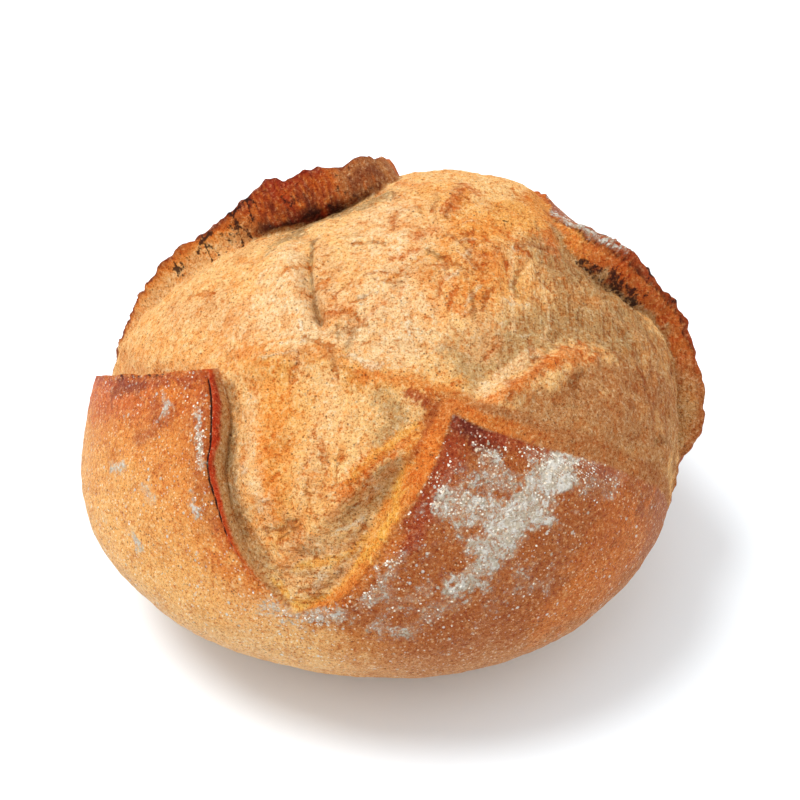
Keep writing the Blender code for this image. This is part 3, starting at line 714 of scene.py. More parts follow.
def torn(plan):
    """The crust torn open: moved plan points, heights in metres, and what is near each point."""
    near = edges_near(plan)
    distance, room, edge = near.distance, near.room, near.values
    lift = edge["lift"] * (1 + RAGGED_SHARE * bumps(ball_form(plan), RAGGED_SIZE))
    back = np.clip(distance, 0, None)
    out = np.clip(-distance, 0, None)
    face = np.minimum(edge["face"], FACE_ROOM * room)
    profile = face + lift + edge["sink"] + edge["furrow"] + 2 * edge["under"]
    band = np.minimum(np.clip(BAND_SHARE * profile, BAND_LEAST, BAND_MOST), BAND_ROOM * room) + NEAR_ZERO
    # The torn face goes down from the lip, and its foot turns back under it.
    down = np.clip(out / band, 0, 1)
    turned = np.clip((down - FACE_END) / (1 - FACE_END), 0, 1)
    over = UNDERCUT_SHARE * edge["under"] / (edge["under"] + UNDERCUT_TURN)
    swept = np.sin(math.pi / 2 * np.clip(down / FACE_END, 0, 1))
    face_at = face * ((1 - over) * down + over * swept) - edge["under"] * np.sin(math.pi * turned)
    # The dough beyond it takes up the strip that the face used.
    rest = np.clip((out - band) / (np.minimum(SETTLE, np.maximum(room - band, 0)) + NEAR_ZERO), 0, 1)
    dough_at = out + (face - band) * (1 - smooth_step(rest))
    slid = np.where(distance >= 0, back, -np.where(down < 1, face_at, dough_at))
    moved = plan + near.way * ((slid - distance) / metres_per_degree(plan))[:, None]
    beyond = np.where(down < 1, 0, np.clip(dough_at - face, 0, None))
    dough_height = dough_relief(moved) - edge["sink"] * np.exp(-((beyond / SINK_REACH) ** SINK_CURL))
    dough_height -= edge["furrow"] * np.exp(-((beyond / FURROW_REACH) ** 2))
    crust_height = lift * np.exp(-((back / LIP_REACH) ** LIP_CURL))
    fallen = smooth_step(down / FACE_FALL)
    height = np.where(distance >= 0, crust_height, lift + (dough_height - lift) * fallen)
    return SimpleNamespace(
        plan=moved, height=height, distance=distance, down=down, near=near.near, run=near.run,
        scale=metres_per_degree(moved),
    )


def crowded(ball):
    """The ball's points, drawn up towards the crown."""
    up = -1 + np.clip(ball[:, 2] + 1, 0, 2) ** CROWN_DENSITY * 2 ** (1 - CROWN_DENSITY)
    flat = np.hypot(ball[:, 0], ball[:, 1])
    spread = np.sqrt(np.clip(1 - up * up, 0, 1)) / np.maximum(flat, NEAR_ZERO)
    return np.stack([ball[:, 0] * spread, ball[:, 1] * spread, up], axis=-1)


def fine_ball():
    """A unit ball's mesh, cut finer over the opening and just outside its lips."""
    ball = bmesh.new()
    bmesh.ops.create_icosphere(ball, subdivisions=FIRST_CUTS, radius=1.0)
    plan = plan_of(crowded(np.array([v.co[:] for v in ball.verts])))
    outline = whole_outline({name: drawn([row[0] for row in rows]) for name, rows in EDGES.items()})
    tree = kdtree.KDTree(len(outline))
    for i, (x, y) in enumerate(outline):
        tree.insert((x, y, 0), i)
    tree.balance()
    fine = inside(outline, plan)
    fine |= np.array([tree.find((x, y, 0))[2] < FINE_MARGIN for x, y in plan])
    chosen = [e for e in ball.edges if fine[e.verts[0].index] and fine[e.verts[1].index]]
    bmesh.ops.subdivide_edges(ball, edges=chosen, cuts=1, use_grid_fill=True)
    bmesh.ops.triangulate(ball, faces=ball.faces[:])
    for v in ball.verts:
        v.co.normalize()
    mesh = bpy.data.meshes.new("crust_and_bloom")
    ball.to_mesh(mesh)
    ball.free()
    return mesh


def stroke(loaf, places, half):
    """How far a soft, ragged stroke along places covers each point, from 0 to 1."""
    points = np.array([place(*p) for p in places])
    margin = 2 * half / loaf.scale.min() + STROKE_STEP
    close = ((loaf.plan > points.min(0) - margin) & (loaf.plan < points.max(0) + margin)).all(axis=1)
    plan = loaf.plan[close]
    line, shares, _ = drawn(places, STROKE_STEP)
    offset, _, _ = nearest_on(line, shares, plan)
    far = np.linalg.norm(offset, axis=1) * loaf.scale[close] * (1 + STROKE_RAGGED * loaf.ragged[close])
    covered = np.zeros(len(loaf.plan))
    breaking = STROKE_BREAK * min(1, STROKE_BREAK_HALF / half)
    covered[close] = smooth_step(STROKE_END - far / half + breaking * loaf.broken[close])
    return covered


def strokes(loaf, table):
    """Several strokes as one cover, the strongest where they cross."""
    covered = np.zeros(len(loaf.plan))
    for strength, half, places in table:
        covered = np.maximum(covered, strength * stroke(loaf, places, half))
    return covered


def linear(colour):
    """A screen colour of 0 to 255 as linear light."""
    c = np.array(colour) / 255
    return np.where(c <= 0.04045, c / 12.92, ((c + 0.055) / 1.055) ** 2.4)


def paint(tint, name, cover):
    """Lays a named colour over the tint by its cover."""
    tint += cover[:, None] * (linear(COLOURS[name]) - tint)


def of_piece(loaf, piece):
    """How near each point is to a piece of crust, rather than to the others."""
    return sum(loaf.near[name] for name in ROUND if name.startswith(piece))


def bearing_and_tilt(plan):
    """The plan points as bearings from 0 to 360 and tilts."""
    return np.degrees(np.arctan2(plan[:, 1], plan[:, 0])) % 360, np.hypot(plan[:, 0], plan[:, 1])


def skin_tint(loaf):
    """Colour of the crust's outer skin: golden at the left, brown elsewhere, paler to the sole."""
    tint = np.tile(linear(COLOURS["copper"]), (len(loaf.plan), 1))
    bearing, tilt = bearing_and_tilt(loaf.plan)
    back = np.clip(loaf.distance, 0, None)
    left = of_piece(loaf, "front_left")
    # Below the tips gold passes into brown by bearing alone.
    right_end, right_width = PASSAGE_RIGHT
    left_end, left_width = PASSAGE_LEFT
    passage = smooth_step((right_end - bearing) / right_width)
    passage *= smooth_step((bearing - left_end) / left_width)
    start, width = PASSAGE_TILT
    left += smooth_step((tilt - start) / width) * (passage - left)
    paint(tint, "amber", 0.9 * left)
    paint(tint, "copper", 0.6 * of_piece(loaf, "back"))
    start, width = HONEY_TILT
    paint(tint, "honey", smooth_step((tilt - start) / width) * left)
    start, width = WHEAT_TILT
    paint(tint, "wheat", smooth_step((tilt + 8 * left - start) / width) * (0.35 + 0.65 * left))
    start, width = SOLE_WHEAT_TILT
    paint(tint, "wheat", 0.8 * smooth_step((tilt - start) / width))
    paint(tint, "brick", 0.5 * np.exp(-back / LIP_RED_REACH) * of_piece(loaf, "back"))
    for name, strength, half, places in SKIN_STROKES:
        paint(tint, name, strength * stroke(loaf, places, half))
    return tint


def dough_tint(loaf):
    """Colour of the bloomed dough."""
    tint = np.tile(linear(COLOURS["butter"]), (len(loaf.plan), 1))
    for name, strength, half, places in DOUGH_STROKES:
        paint(tint, name, strength * stroke(loaf, places, half))
    return tint


def flakes_of(loaf, tint):
    """Paints the strewn flakes into the tint. Returns the covers of the dark tears and the pale peels."""
    chance = np.random.default_rng(SEED)
    tears = np.zeros(len(loaf.plan))
    peels = np.zeros(len(loaf.plan))
    for (bearing, tilt), spread, count, way, turn, colours in FLAKE_ZONES:
        for middle in place(bearing, tilt) + spread * chance.normal(size=(count, 2)):
            heading = math.radians(chance.normal(way, turn))
            reach = chance.uniform(*FLAKE_LENGTH) * np.array([math.cos(heading), math.sin(heading)])
            ends = [
                (math.degrees(math.atan2(y, x)), math.hypot(x, y))
                for x, y in (middle - reach, middle + FLAKE_BEND * chance.normal(size=2), middle + reach)
            ]
            cover = stroke(loaf, ends, chance.uniform(*FLAKE_HALF))
            name = str(chance.choice(colours))
            paint(tint, name, chance.uniform(*FLAKE_STRENGTH) * cover)
            kind = peels if name == "cream" else tears
            np.maximum(kind, cover * chance.uniform(*TEAR_SHARE), out=kind)
    return tears, peels


def face_tint(loaf):
    """Colour of the torn faces under the lips. A face's down is 0 at its lip and 1 at its foot, and its run
    is 0 at its corner and 1 at its tip. A step divides by the share of either that it takes."""
    tint = np.tile(linear(COLOURS["amber"]), (len(loaf.plan), 1))
    bearing, _ = bearing_and_tilt(loaf.plan)
    down = loaf.down + 0.06 * loaf.ragged
    paint_slab(loaf, tint, bearing, down)
    paint_left_rim(loaf, tint, down)
    paint_right_lips(loaf, tint, down)
    low = paint_right_rim(loaf, tint, down)
    for name, strength, half, places in FACE_STROKES:
        paint(tint, name, strength * stroke(loaf, places, half))
    paint_rim_line(loaf, tint, bearing, down, low)
    return tint


def paint_slab(loaf, tint, bearing, down):
    """The back left piece's face: a red raised slab whose foot is painted near-black as the shade of its
    undercut, and a golden rim to its left.
    """
    slab_side = loaf.near["back_left_side"]
    slab = slab_side * smooth_step((SLAB_END - bearing) / 8)
    paint(tint, "honey", slab_side)
    paint(tint, "wheat", 0.7 * (slab_side - slab) * smooth_step((down - 0.30) / 0.2))
    paint(tint, "amber", 0.9 * slab_side * smooth_step((0.50 - down) / 0.3))
    paint(tint, "copper", 0.9 * slab_side * smooth_step((0.26 - down) / 0.2))
    paint(tint, "brick", 0.9 * slab)
    paint(tint, "maroon", 0.6 * slab * smooth_step(2 * loaf.broken + 0.8 * loaf.ragged))
    paint(tint, "amber", 0.8 * slab * smooth_step(-2 * loaf.broken - 0.8 * loaf.ragged - 0.1))
    # Painted shade: the slab's foot goes near-black where it is undercut.
    paint(tint, "char_and_shade", slab * smooth_step((down - 0.44 + 0.10 * loaf.ragged) / 0.18))
    paint(tint, "sand", 0.8 * slab * smooth_step((bearing - 137) / 5) * smooth_step((down - 0.66) / 0.1))


def paint_left_rim(loaf, tint, down):
    """The front left lip's face: a red line, with a sandy brown below it that is painted shade on the face
    turned from the lamp.
    """
    rim = loaf.near["front_left_side"]
    run = loaf.run["front_left_side"]
    paint(tint, "amber", 0.9 * rim)
    paint(tint, "scarlet", 0.9 * rim * smooth_step((RIM_RED_END - run) / 0.3))
    paint(tint, "maroon", 0.6 * rim * smooth_step((0.22 - run) / 0.2) * smooth_step((down - 0.08) / 0.1))
    # Painted shade: the lower part of the face, turned from the lamp, is sand brown.
    paint(tint, "sand", rim * smooth_step((down - 0.30 + 0.22 * run) / 0.12))


def paint_right_lips(loaf, tint, down):
    """The front right piece's faces: a broad orange one at its left, and a narrow one along its top."""
    facet = loaf.near["front_right_side"]
    lower = smooth_step((loaf.run["front_right_side"] - 0.22) / 0.2)
    paint(tint, "orange", 0.8 * facet)
    paint(tint, "honey", 0.6 * facet * lower)
    paint(tint, "copper", 0.7 * facet * lower * smooth_step((0.22 - down) / 0.10))
    paint(tint, "honey", 0.8 * facet * smooth_step((down - 0.52) / 0.10))
    top = loaf.near["front_right_top"]
    paint(tint, "tan", 0.9 * top)
    beginning = smooth_step(1.2 - 3.5 * loaf.run["front_right_top"])
    paint(tint, "orange", 0.85 * top * beginning * smooth_step((0.60 - down) / 0.15))


def paint_right_rim(loaf, tint, down):
    """The back right piece's face. Returns its low, paler share."""
    right = loaf.near["back_right_side"]
    paint(tint, "copper", 0.5 * right)
    low = smooth_step((loaf.run["back_right_side"] - 0.5) / 0.15) * right
    paint(tint, "tan", 0.7 * low)
    paint(tint, "sand", 0.8 * low * smooth_step((down - 0.28) / 0.12))
    return low


def paint_rim_line(loaf, tint, bearing, down, low):
    """The upper share of the back right face: an olive foot, a red rim, and a burnt line under it."""
    upper = loaf.near["back_right_side"] - low
    foot = smooth_step((down - 0.58 + 0.2 * loaf.ragged) / 0.12)
    foot *= smooth_step((32 - bearing) / 8) * (bearing < RIGHT_FOOT_END)
    paint(tint, "olive", 0.8 * upper * foot)
    paint(tint, "scarlet", 0.35 * upper * (1 - foot) * smooth_step(2 * loaf.broken))
    line, half = RIM_LINE
    paint(tint, "brick", 0.8 * upper * smooth_step((line - down) / 0.05))
    paint(tint, "char_and_shade", 0.9 * upper * np.exp(-(((down - line) / half) ** 2)))


def seam_of(loaf):
    """How many of its own half widths each point lies from the crack along the front left lip."""
    run = loaf.run["front_left_side"]
    first, last = SEAM_OFFSET
    away = np.abs(loaf.distance - first - (last - first) * run) / (SEAM_HALF * (1.2 - 0.5 * run))
    fading = SEAM_FADE * smooth_step((run - SEAM_END) / 0.3)
    return np.clip(away + 1.2 * (1 - loaf.near["front_left_side"]) + fading, 0, 4)


def masks_of(loaf):
    """The named masks that the crust's material reads, one value a point."""
    on_face = np.where(loaf.distance < 0, smooth_step((1 - loaf.down) / FACE_FADE), 0)
    on_skin = smooth_step(loaf.distance / SKIN_FADE + 0.5)
    tint = dough_tint(loaf)
    dough = (1 - on_skin) * (1 - on_face)
    tears, peels = (cover * dough for cover in flakes_of(loaf, tint))
    tint += on_face[:, None] * (face_tint(loaf) - tint)
    tint += on_skin[:, None] * (skin_tint(loaf) - tint)
    seam = seam_of(loaf)
    rim = np.exp(-((loaf.distance / RED_LIP) ** 2)) * loaf.near["front_left_side"]
    red = smooth_step((RIM_RED_END + 0.15 - loaf.run["front_left_side"]) / 0.3)
    paint(tint, "scarlet", 0.8 * rim * red)
    paint(tint, "maroon", 0.8 * np.exp(-((loaf.distance / DARK_LIP) ** 2)) * loaf.near["back_left_side"])
    # The front arm, whose fibres run across those of the rest
    bearing, tilt = bearing_and_tilt(loaf.plan)
    middle, half = FRONT_ARM
    start, width = FRONT_ARM_TILT
    front = np.exp(-(((bearing - middle) / half) ** 2)) * smooth_step((tilt - start) / width)
    flour = strokes(loaf, FLOUR_STROKES) * smooth_step(loaf.distance / FLOUR_FADE + 1)
    line, _ = RIM_LINE
    on_rim = loaf.near["back_right_side"] * smooth_step((line - loaf.down) / 0.05) * (loaf.distance < 0)
    flour = np.maximum(flour, on_rim * strokes(loaf, RIM_FLOUR_STROKES))
    stars = [
        (STAR_STRENGTH, STAR_HALF, (beside(*middle, -half, turn), beside(*middle, half, turn)))
        for *middle, half in CHAR_STARS
        for turn in STAR_TURNS
    ]
    char = np.maximum(strokes(loaf, CHAR_STROKES), strokes(loaf, stars))
    return SimpleNamespace(
        tint=tint, skin=on_skin, face=on_face, seam=seam, flour=flour, char=char,
        tears=tears, peels=peels,
        mottle=strokes(loaf, MOTTLE_STROKES), front=front,
        fibrous=(1 - on_skin) * (FIBRE_LEAST + (1 - FIBRE_LEAST) * strokes(loaf, FIBRE_STROKES)),
    )


def fine_relief(loaf, masks):
    """Height of what is too fine for the solid: pimples, crumble, fibres, ledges, cracks and flour."""
    height = np.zeros(len(loaf.plan))
    bare = 1 - masks.skin
    for size, top in SKIN_PIMPLES:
        height += top * masks.skin * bumps(loaf.form, size)
    for size, top in DOUGH_CRUMBLE:
        height += top * bare * bumps(loaf.form, size)
    size, top = FIBRES
    sideways = bumps(loaf.form, size, (FIBRE_STRETCH, 1, 1))
    lengthways = bumps(loaf.form, size, (1, FIBRE_STRETCH, FIBRE_STRETCH))
    height += top * masks.fibrous * (masks.front * sideways + (1 - masks.front) * lengthways)
    size, top = FACE_LEDGES
    strong = loaf.near["back_left_side"] + 0.5 * loaf.near["back_right_side"]
    height += top * masks.face * strong * bumps(loaf.form, size, (LEDGE_STRETCH, LEDGE_STRETCH, 1))
    size, top = LIP_CRUMBLE
    at_lip = np.exp(-((loaf.distance / LIP_CRUMBLE_REACH) ** 2)) * of_piece(loaf, "back")
    height += top * at_lip * bumps(loaf.form, size)
    line, half = RIM_LINE
    on_line = np.exp(-(((loaf.down - line) / half) ** 2))
    height -= RIM_LINE_DEPTH * masks.face * loaf.near["back_right_side"] * on_line
    height -= SEAM_DEPTH * np.exp(-(masks.seam**2))
    height += FLAKE_HEIGHT * (masks.peels - masks.tears)
    height += FLOUR_DEPTH * masks.flour * (1 + bumps(loaf.form, STROKE_BREAK_SIZE))
    return height


def add_values(mesh, masks):
    """Writes the masks into the mesh for its material."""
    tint = mesh.color_attributes.new("tint", "FLOAT_COLOR", "POINT")
    tint.data.foreach_set("color", np.hstack([masks.tint, np.ones((len(masks.tint), 1))]).ravel())
    for name in ("skin", "seam", "flour", "char", "mottle", "front", "fibrous", "tears", "peels"):
        values = mesh.attributes.new(name, "FLOAT", "POINT")
        values.data.foreach_set("value", getattr(masks, name).astype(np.float32))


class Recipe:
    """Adds nodes to one material, with one short call for each. A noise is given its size, octaves and
    roughness, and its shift sets it apart from the others. A ramp runs from low to high, and gives a value
    between its start and its end."""

    def __init__(self, name):
        self.material = bpy.data.materials.new(name)
        self.material.use_nodes = True
        self.tree = self.material.node_tree
        self.shader = self.tree.nodes["Principled BSDF"]
        self.where = self.tree.nodes.new("ShaderNodeTexCoord").outputs["Object"]

    def link(self, value, socket):
        if isinstance(value, bpy.types.NodeSocket):
            self.tree.links.new(value, socket)
        else:
            socket.default_value = value

    def value(self, name):
        node = self.tree.nodes.new("ShaderNodeAttribute")
        node.attribute_name = name
        return node.outputs["Fac"]

    def colour(self, name):
        node = self.tree.nodes.new("ShaderNodeAttribute")
        node.attribute_name = name
        return node.outputs["Color"]

    def stretched(self, stretch):
        node = self.tree.nodes.new("ShaderNodeMapping")
        self.link(self.where, node.inputs["Vector"])
        node.inputs["Scale"].default_value = [1 / s for s in stretch]
        return node.outputs["Vector"]

    def noise(self, size, detail=3.0, roughness=0.6, stretch=(1, 1, 1), shift=0.0):
        node = self.tree.nodes.new("ShaderNodeTexNoise")
        node.noise_dimensions = "4D"
        self.link(self.stretched(stretch), node.inputs["Vector"])
        node.inputs["W"].default_value = shift
        node.inputs["Scale"].default_value = 1 / size
        node.inputs["Detail"].default_value = detail
        node.inputs["Roughness"].default_value = roughness
        return node.outputs["Fac"]

    def cells(self, size):
        node = self.tree.nodes.new("ShaderNodeTexVoronoi")
        self.link(self.where, node.inputs["Vector"])
        node.inputs["Scale"].default_value = 1 / size
        return node.outputs["Distance"]

    def math(self, operation, a, b=0.0, c=0.0):
        node = self.tree.nodes.new("ShaderNodeMath")
        node.operation = operation
        for value, socket in zip((a, b, c), node.inputs):
            self.link(value, socket)
        return node.outputs["Value"]

    def ramp(self, value, low, high, start=0.0, end=1.0):
        node = self.tree.nodes.new("ShaderNodeMapRange")
        node.interpolation_type = "SMOOTHSTEP"
        self.link(value, node.inputs["Value"])
        node.inputs["From Min"].default_value = low
        node.inputs["From Max"].default_value = high
        node.inputs["To Min"].default_value = start
        node.inputs["To Max"].default_value = end
        return node.outputs["Result"]

    def mix(self, share, a, b, blend="MIX"):
        node = self.tree.nodes.new("ShaderNodeMix")
        node.data_type = "RGBA"
        node.blend_type = blend
        self.link(share, node.inputs[0])
        for value, socket in ((a, node.inputs[6]), (b, node.inputs[7])):
            self.link(value if isinstance(value, bpy.types.NodeSocket) else (*linear(value), 1), socket)
        return node.outputs[2]

    def lighter(self, colour, power):
        node = self.tree.nodes.new("ShaderNodeGamma")
        self.link(colour, node.inputs["Color"])
        node.inputs["Gamma"].default_value = power
        return node.outputs["Color"]

    def bump(self, height, distance, strength, below=None):
        node = self.tree.nodes.new("ShaderNodeBump")
        node.inputs["Strength"].default_value = strength
        node.inputs["Distance"].default_value = distance
        self.link(height, node.inputs["Height"])
        if below is not None:
            self.link(below, node.inputs["Normal"])
        return node.outputs["Normal"]


def browning(r, tint, bare):
    """Broad cloudiness of the browning, and golden mottling on the dough."""
    cloud = r.noise(0.0080, 4, 0.6)
    tint = r.mix(r.ramp(cloud, 0.50, 0.34, 0.0, 0.5), tint, r.mix(1.0, tint, (222, 190, 160), "MULTIPLY"))
    mottle = r.value("mottle")
    blotch = r.math("ADD", r.noise(0.0050, 6, 0.75, shift=3), r.math("MULTIPLY", mottle, 0.08))
    gold = r.math("MULTIPLY", r.ramp(blotch, 0.50, 0.62, 0.0, 0.6), bare)
    return r.mix(gold, tint, r.mix(1.0, tint, (250, 205, 145), "MULTIPLY"))


def fibres(r, tint, fibrous):
    """Fibres across each arm of the opening. Returns their height too."""
    lengthways = r.noise(0.0010, 4, 0.65, (1, 8, 8), 5)
    sideways = r.noise(0.0010, 4, 0.65, (8, 1, 1), 6)
    turned = r.math("MULTIPLY", r.value("front"), r.math("SUBTRACT", sideways, lengthways))
    fibre = r.math("ADD", lengthways, turned)
    strand = r.math("MULTIPLY", fibrous, r.ramp(fibre, 0.50, 0.38, 0.0, 0.8))
    tint = r.mix(strand, tint, r.mix(1.0, tint, (215, 180, 145), "MULTIPLY"))
    return tint, r.math("MULTIPLY", fibre, fibrous)


def tears_and_peels(r, tint):
    """Tears with browned edges, and pale peels. Returns their height too."""
    nibble = r.math("MULTIPLY_ADD", r.noise(0.0026, 5, 0.75, shift=33), 2.6, -1.3)
    tear = r.ramp(r.math("ADD", r.value("tears"), nibble), 0.52, 0.66)
    peel = r.ramp(r.math("ADD", r.value("peels"), nibble), 0.52, 0.66)
    tint = r.mix(r.math("MULTIPLY", tear, 0.65), tint, r.mix(1.0, tint, (222, 168, 108), "MULTIPLY"))
    tint = r.mix(r.math("MULTIPLY", peel, 0.70), tint, r.lighter(tint, 0.6))
    return tint, r.math("SUBTRACT", peel, tear)


def flecks_and_grain(r, tint):
    """Dark and pale flecks, and fine grain. Returns the height of each too."""
    fleck = r.noise(0.0013, 5, 0.75, shift=9)
    grain = r.noise(0.0005, 2, 0.6, shift=10)
    tint = r.mix(r.ramp(fleck, 0.48, 0.38, 0.0, 0.85), tint, r.mix(1.0, tint, (218, 162, 112), "MULTIPLY"))
    tint = r.mix(r.ramp(grain, 0.49, 0.34, 0.0, 0.8), tint, r.mix(1.0, tint, (186, 150, 118), "MULTIPLY"))
    tint = r.mix(r.ramp(fleck, 0.53, 0.61, 0.0, 0.9), tint, r.lighter(tint, 0.60))
    return tint, fleck, grain


def specks(r, tint, skin, bare, fibrous):
    """Bran; pores in the dough, painted dark as the shade inside them; and golden glints on the skin, which
    are painted highlights.
    """
    rare = r.ramp(r.noise(0.0045, 2, shift=12), 0.48, 0.56)
    bran = r.math("MULTIPLY", rare, r.ramp(r.cells(0.0022), 0.20, 0.12, 0.0, 0.8))
    tint = r.mix(bran, tint, (118, 66, 32))
    # Pores: dark dots painted as the shade inside small holes in the dough.
    pores = r.math("MULTIPLY", r.math("ADD", fibrous, 0.25), r.ramp(r.cells(0.0017), 0.17, 0.09, 0.0, 0.60))
    tint = r.mix(r.math("MULTIPLY", pores, bare), tint, (104, 66, 38))
    # Painted highlights: small golden glints on the skin.
    painted_glint = r.math("MULTIPLY", skin, r.ramp(r.cells(0.0016), 0.26, 0.16, 0.0, 0.9))
    painted_glint = r.math("MULTIPLY", painted_glint, r.ramp(r.noise(0.0050, 3, shift=39), 0.42, 0.52))
    return r.mix(painted_glint, tint, r.lighter(tint, 0.36))


def crack_and_char(r, tint):
    """The crack along the front left lip, painted near-black as the shade deep inside it, and charred
    spots.
    """
    wander = r.math("MULTIPLY_ADD", r.noise(0.0020, 3, shift=15), 0.4, -0.2)
    crack = r.ramp(r.math("ADD", r.value("seam"), wander), 0.90, 0.50, 0.0, 0.97)
    # Painted shade: the crack is filled with near-black.
    tint = r.mix(crack, tint, (38, 12, 8))
    broken = r.math("MULTIPLY_ADD", r.noise(0.0030, 6, 0.8, shift=18), 3.0, -1.5)
    char = r.ramp(r.math("ADD", r.value("char"), broken), 0.45, 0.75, 0.0, 0.92)
    return r.mix(char, tint, (46, 20, 14))


def flour_cover(r, tint, skin):
    """Flour: a thin veil, thick patches that break up into grains, and a scatter of specks on the skin.
    Returns where it covers the crust, and its height there."""
    flour = r.value("flour")
    patch = r.math("MULTIPLY_ADD", r.noise(0.0060, 6, 0.8, shift=21), 3.0, -1.5)
    dust = r.noise(0.0010, 3, 0.7, shift=24)
    heap = r.math("ADD", flour, r.math("ADD", patch, r.math("MULTIPLY_ADD", dust, 1.8, -0.9)))
    veil = r.ramp(r.math("MULTIPLY_ADD", patch, 0.5, flour), 0.25, 0.95, 0.0, 0.60)
    tint = r.mix(r.math("MULTIPLY", veil, r.ramp(dust, 0.36, 0.56, 0.45, 1.0)), tint, (214, 198, 170))
    thick = r.ramp(heap, 0.60, 1.05)
    few = r.ramp(r.noise(0.0060, 3, shift=30), 0.44, 0.58)
    coarse = r.ramp(r.cells(0.0034), 0.20, 0.13, 0.0, 0.9)
    speck = r.math("MAXIMUM", coarse, r.ramp(r.cells(0.0019), 0.19, 0.12, 0.0, 0.7))
    speck = r.math("MULTIPLY", r.math("MULTIPLY", skin, few), speck)
    covered = r.math("MAXIMUM", thick, speck)
    shade = r.ramp(r.noise(0.0024, 3, 0.7, shift=36), 0.42, 0.58)
    tint = r.mix(r.math("MULTIPLY", covered, 0.88), tint, r.mix(shade, (238, 234, 224), (204, 192, 170)))
    return tint, covered, r.math("MULTIPLY", covered, r.math("ADD", dust, patch))


def crust_material():
    """Baked crust and bloomed dough: mottled, fibrous and grainy, with bran, char and flour."""
    r = Recipe("baked_crust")
    skin = r.value("skin")
    bare = r.math("SUBTRACT", 1.0, skin)
    fibrous = r.value("fibrous")
    tint = browning(r, r.colour("tint"), bare)
    tint, strands = fibres(r, tint, fibrous)
    tint, peeling = tears_and_peels(r, tint)
    tint, fleck, grain = flecks_and_grain(r, tint)
    tint = specks(r, tint, skin, bare, fibrous)
    tint = crack_and_char(r, tint)
    tint, covered, powder = flour_cover(r, tint, skin)
    r.link(tint, r.shader.inputs["Base Color"])
    r.link(r.ramp(r.math("MAXIMUM", covered, bare), 0.0, 1.0, 0.50, 0.88), r.shader.inputs["Roughness"])
    r.shader.inputs["Specular IOR Level"].default_value = 0.12
    height = r.math("MULTIPLY_ADD", strands, 0.8, fleck)
    height = r.math("MULTIPLY_ADD", grain, 0.3, height)
    height = r.math("MULTIPLY_ADD", powder, 0.5, height)
    height = r.math("MULTIPLY_ADD", peeling, 0.25, height)
    rough = r.bump(r.noise(0.0030, 4, 0.6, shift=27), 0.0035, 0.7)
    r.link(r.bump(height, 0.0022, 0.8, rough), r.shader.inputs["Normal"])
    return r.material


def build_loaf():
    """The whole loaf as one closed mesh, with the masks its material reads."""
    mesh = fine_ball()
    ball = np.empty(len(mesh.vertices) * 3, np.float32)
    mesh.vertices.foreach_get("co", ball)
    loaf = torn(plan_of(crowded(ball.reshape(-1, 3).astype(float))))
    smooth = ball_form(loaf.plan)
    up = outward(loaf.plan)
    lumps = sum(top * bumps(smooth, size) for size, top in LUMPS)
    loaf.form = smooth + up * (loaf.height + lumps)[:, None]
    loaf.ragged = bumps(loaf.form, STROKE_RAGGED_SIZE) + 0.6 * bumps(loaf.form, STROKE_RAGGED_SIZE / 2)
    crumbs = np.random.default_rng(SEED).normal(size=len(loaf.plan))
    loaf.broken = bumps(loaf.form, STROKE_BREAK_SIZE) + STROKE_SPECKS * crumbs
    masks = masks_of(loaf)
    at = soft_floor(loaf.form + up * fine_relief(loaf, masks)[:, None])
    loaf.at = at
    mesh.vertices.foreach_set("co", at.astype(np.float32).ravel())
    mesh.polygons.foreach_set("use_smooth", np.ones(len(mesh.polygons), bool))
    mesh.update()
    add_values(mesh, masks)
    mesh.materials.append(crust_material())
    crust = bpy.data.objects.new("crust_and_bloom", mesh)
    bpy.context.scene.collection.objects.link(crust)
    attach(crust, "root")
    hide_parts("country_loaf")
    dusted = np.clip(masks.flour + 0.35 * loaf.broken + 0.3 * loaf.ragged - 0.25, 0, None) * masks.skin
    build_grains("flour_grains", loaf, dusted, GRAIN_COUNT, GRAIN_SIZES, GRAIN_COLOUR)


def grain_forms(chance, count):
    """Corner points and faces of small uneven lumps, each about one unit across."""
    a, b = GRAIN_CORNER
    rectangle = [(x, y, 0) for x in (-a, a) for y in (-b, b)]
    corners = np.array([corner[turn:] + corner[:turn] for turn in range(3) for corner in rectangle]) / 2
    hull = bmesh.new()
    for corner in corners:
        hull.verts.new(corner)
    hull.verts.ensure_lookup_table()
    bmesh.ops.convex_hull(hull, input=hull.verts[:])
    faces = np.array([[v.index for v in face.verts] for face in hull.faces])
    hull.free()
    return corners * chance.uniform(*GRAIN_UNEVEN, (count, len(corners), 1)), faces


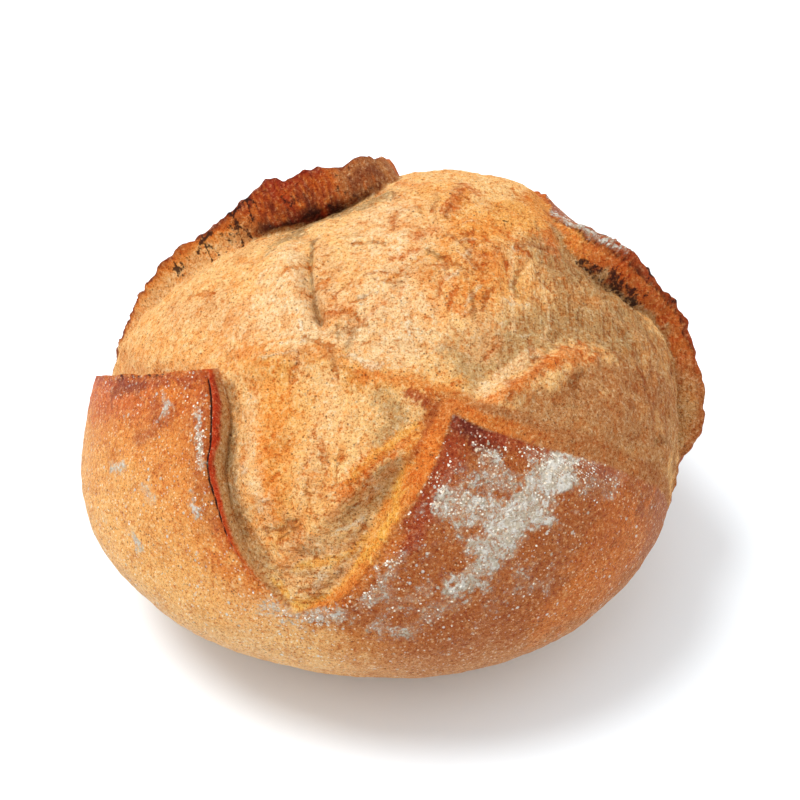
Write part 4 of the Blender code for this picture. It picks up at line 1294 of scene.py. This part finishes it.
def build_grains(name, loaf, cover, count, sizes, colour):
    """Lumps strewn over the crust where the cover is, sunk a little into it."""
    chance = np.random.default_rng(SEED)
    share = cover * loaf.scale**2
    chosen = chance.choice(len(cover), count, p=share / share.sum())
    forms, faces = grain_forms(chance, count)
    across = chance.uniform(0, 1, count) ** GRAIN_FEWER_LARGE * (sizes[1] - sizes[0]) + sizes[0]
    up = outward(loaf.plan[chosen])
    flat = np.cross(up, chance.normal(size=(count, 3)))
    flat /= np.linalg.norm(flat, axis=1)[:, None]
    axes = np.stack([flat, np.cross(up, flat), GRAIN_FLATNESS * up], axis=1)
    at = loaf.at[chosen] - GRAIN_SINK * across[:, None] * up
    points = at[:, None] + across[:, None, None] * (forms @ axes)
    mesh = bpy.data.meshes.new(name)
    steps = (np.arange(count) * forms.shape[1])[:, None, None]
    mesh.from_pydata(points.reshape(-1, 3).tolist(), [], (faces + steps).reshape(-1, 3).tolist())
    r = Recipe(name)
    shade = r.ramp(r.noise(0.0030, 3, shift=2), 0.40, 0.60)
    r.link(r.mix(shade, colour, GRAIN_SHADE), r.shader.inputs["Base Color"])
    r.shader.inputs["Roughness"].default_value = 0.9
    r.shader.inputs["Specular IOR Level"].default_value = 0.1
    mesh.materials.append(r.material)
    grains = bpy.data.objects.new(name, mesh)
    bpy.context.scene.collection.objects.link(grains)
    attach(grains, "root")


def build_floor():
    """A plain pale floor."""
    mesh = bpy.data.meshes.new("floor")
    half = FLOOR_SIZE / 2
    corners = [(-half, -half, 0), (half, -half, 0), (half, half, 0), (-half, half, 0)]
    mesh.from_pydata(corners, [], [(0, 1, 2, 3)])
    floor = bpy.data.objects.new("floor", mesh)
    bpy.context.scene.collection.objects.link(floor)
    r = Recipe("floor")
    r.shader.inputs["Base Color"].default_value = (*FLOOR_COLOUR, 1)
    r.shader.inputs["Roughness"].default_value = 0.9
    r.shader.inputs["Specular IOR Level"].default_value = 0.1
    mesh.materials.append(r.material)


def add_light():
    """White light all round, and one broad soft lamp from the upper left."""
    world = bpy.data.worlds.new("studio")
    world.use_nodes = True
    background = world.node_tree.nodes["Background"]
    background.inputs["Color"].default_value = (1, 1, 1, 1)
    background.inputs["Strength"].default_value = WORLD_LIGHT
    bpy.context.scene.world = world
    lamp = bpy.data.lights.new("key", "SUN")
    lamp.energy = KEY_LIGHT
    lamp.angle = math.radians(KEY_SOFTNESS)
    key = bpy.data.objects.new("key", lamp)
    bpy.context.scene.collection.objects.link(key)
    key.rotation_mode = "QUATERNION"
    key.rotation_quaternion = Vector(KEY_FROM).to_track_quat("Z", "Y")


def add_camera():
    """The camera, in front of the loaf and above it."""
    lens = bpy.data.cameras.new("camera")
    lens.lens = LENS
    lens.sensor_width = SENSOR
    camera = bpy.data.objects.new("camera", lens)
    bpy.context.scene.collection.objects.link(camera)
    tilt = math.radians(CAMERA_ELEVATION)
    back = Vector((0, -math.cos(tilt), math.sin(tilt)))
    camera.location = Vector(TARGET) + back * CAMERA_DISTANCE
    camera.rotation_mode = "QUATERNION"
    camera.rotation_quaternion = back.to_track_quat("Z", "Y")
    bpy.context.scene.camera = camera


bpy.context.scene.view_settings.view_transform = "Standard"
build_loaf()
build_floor()
add_light()
add_camera()
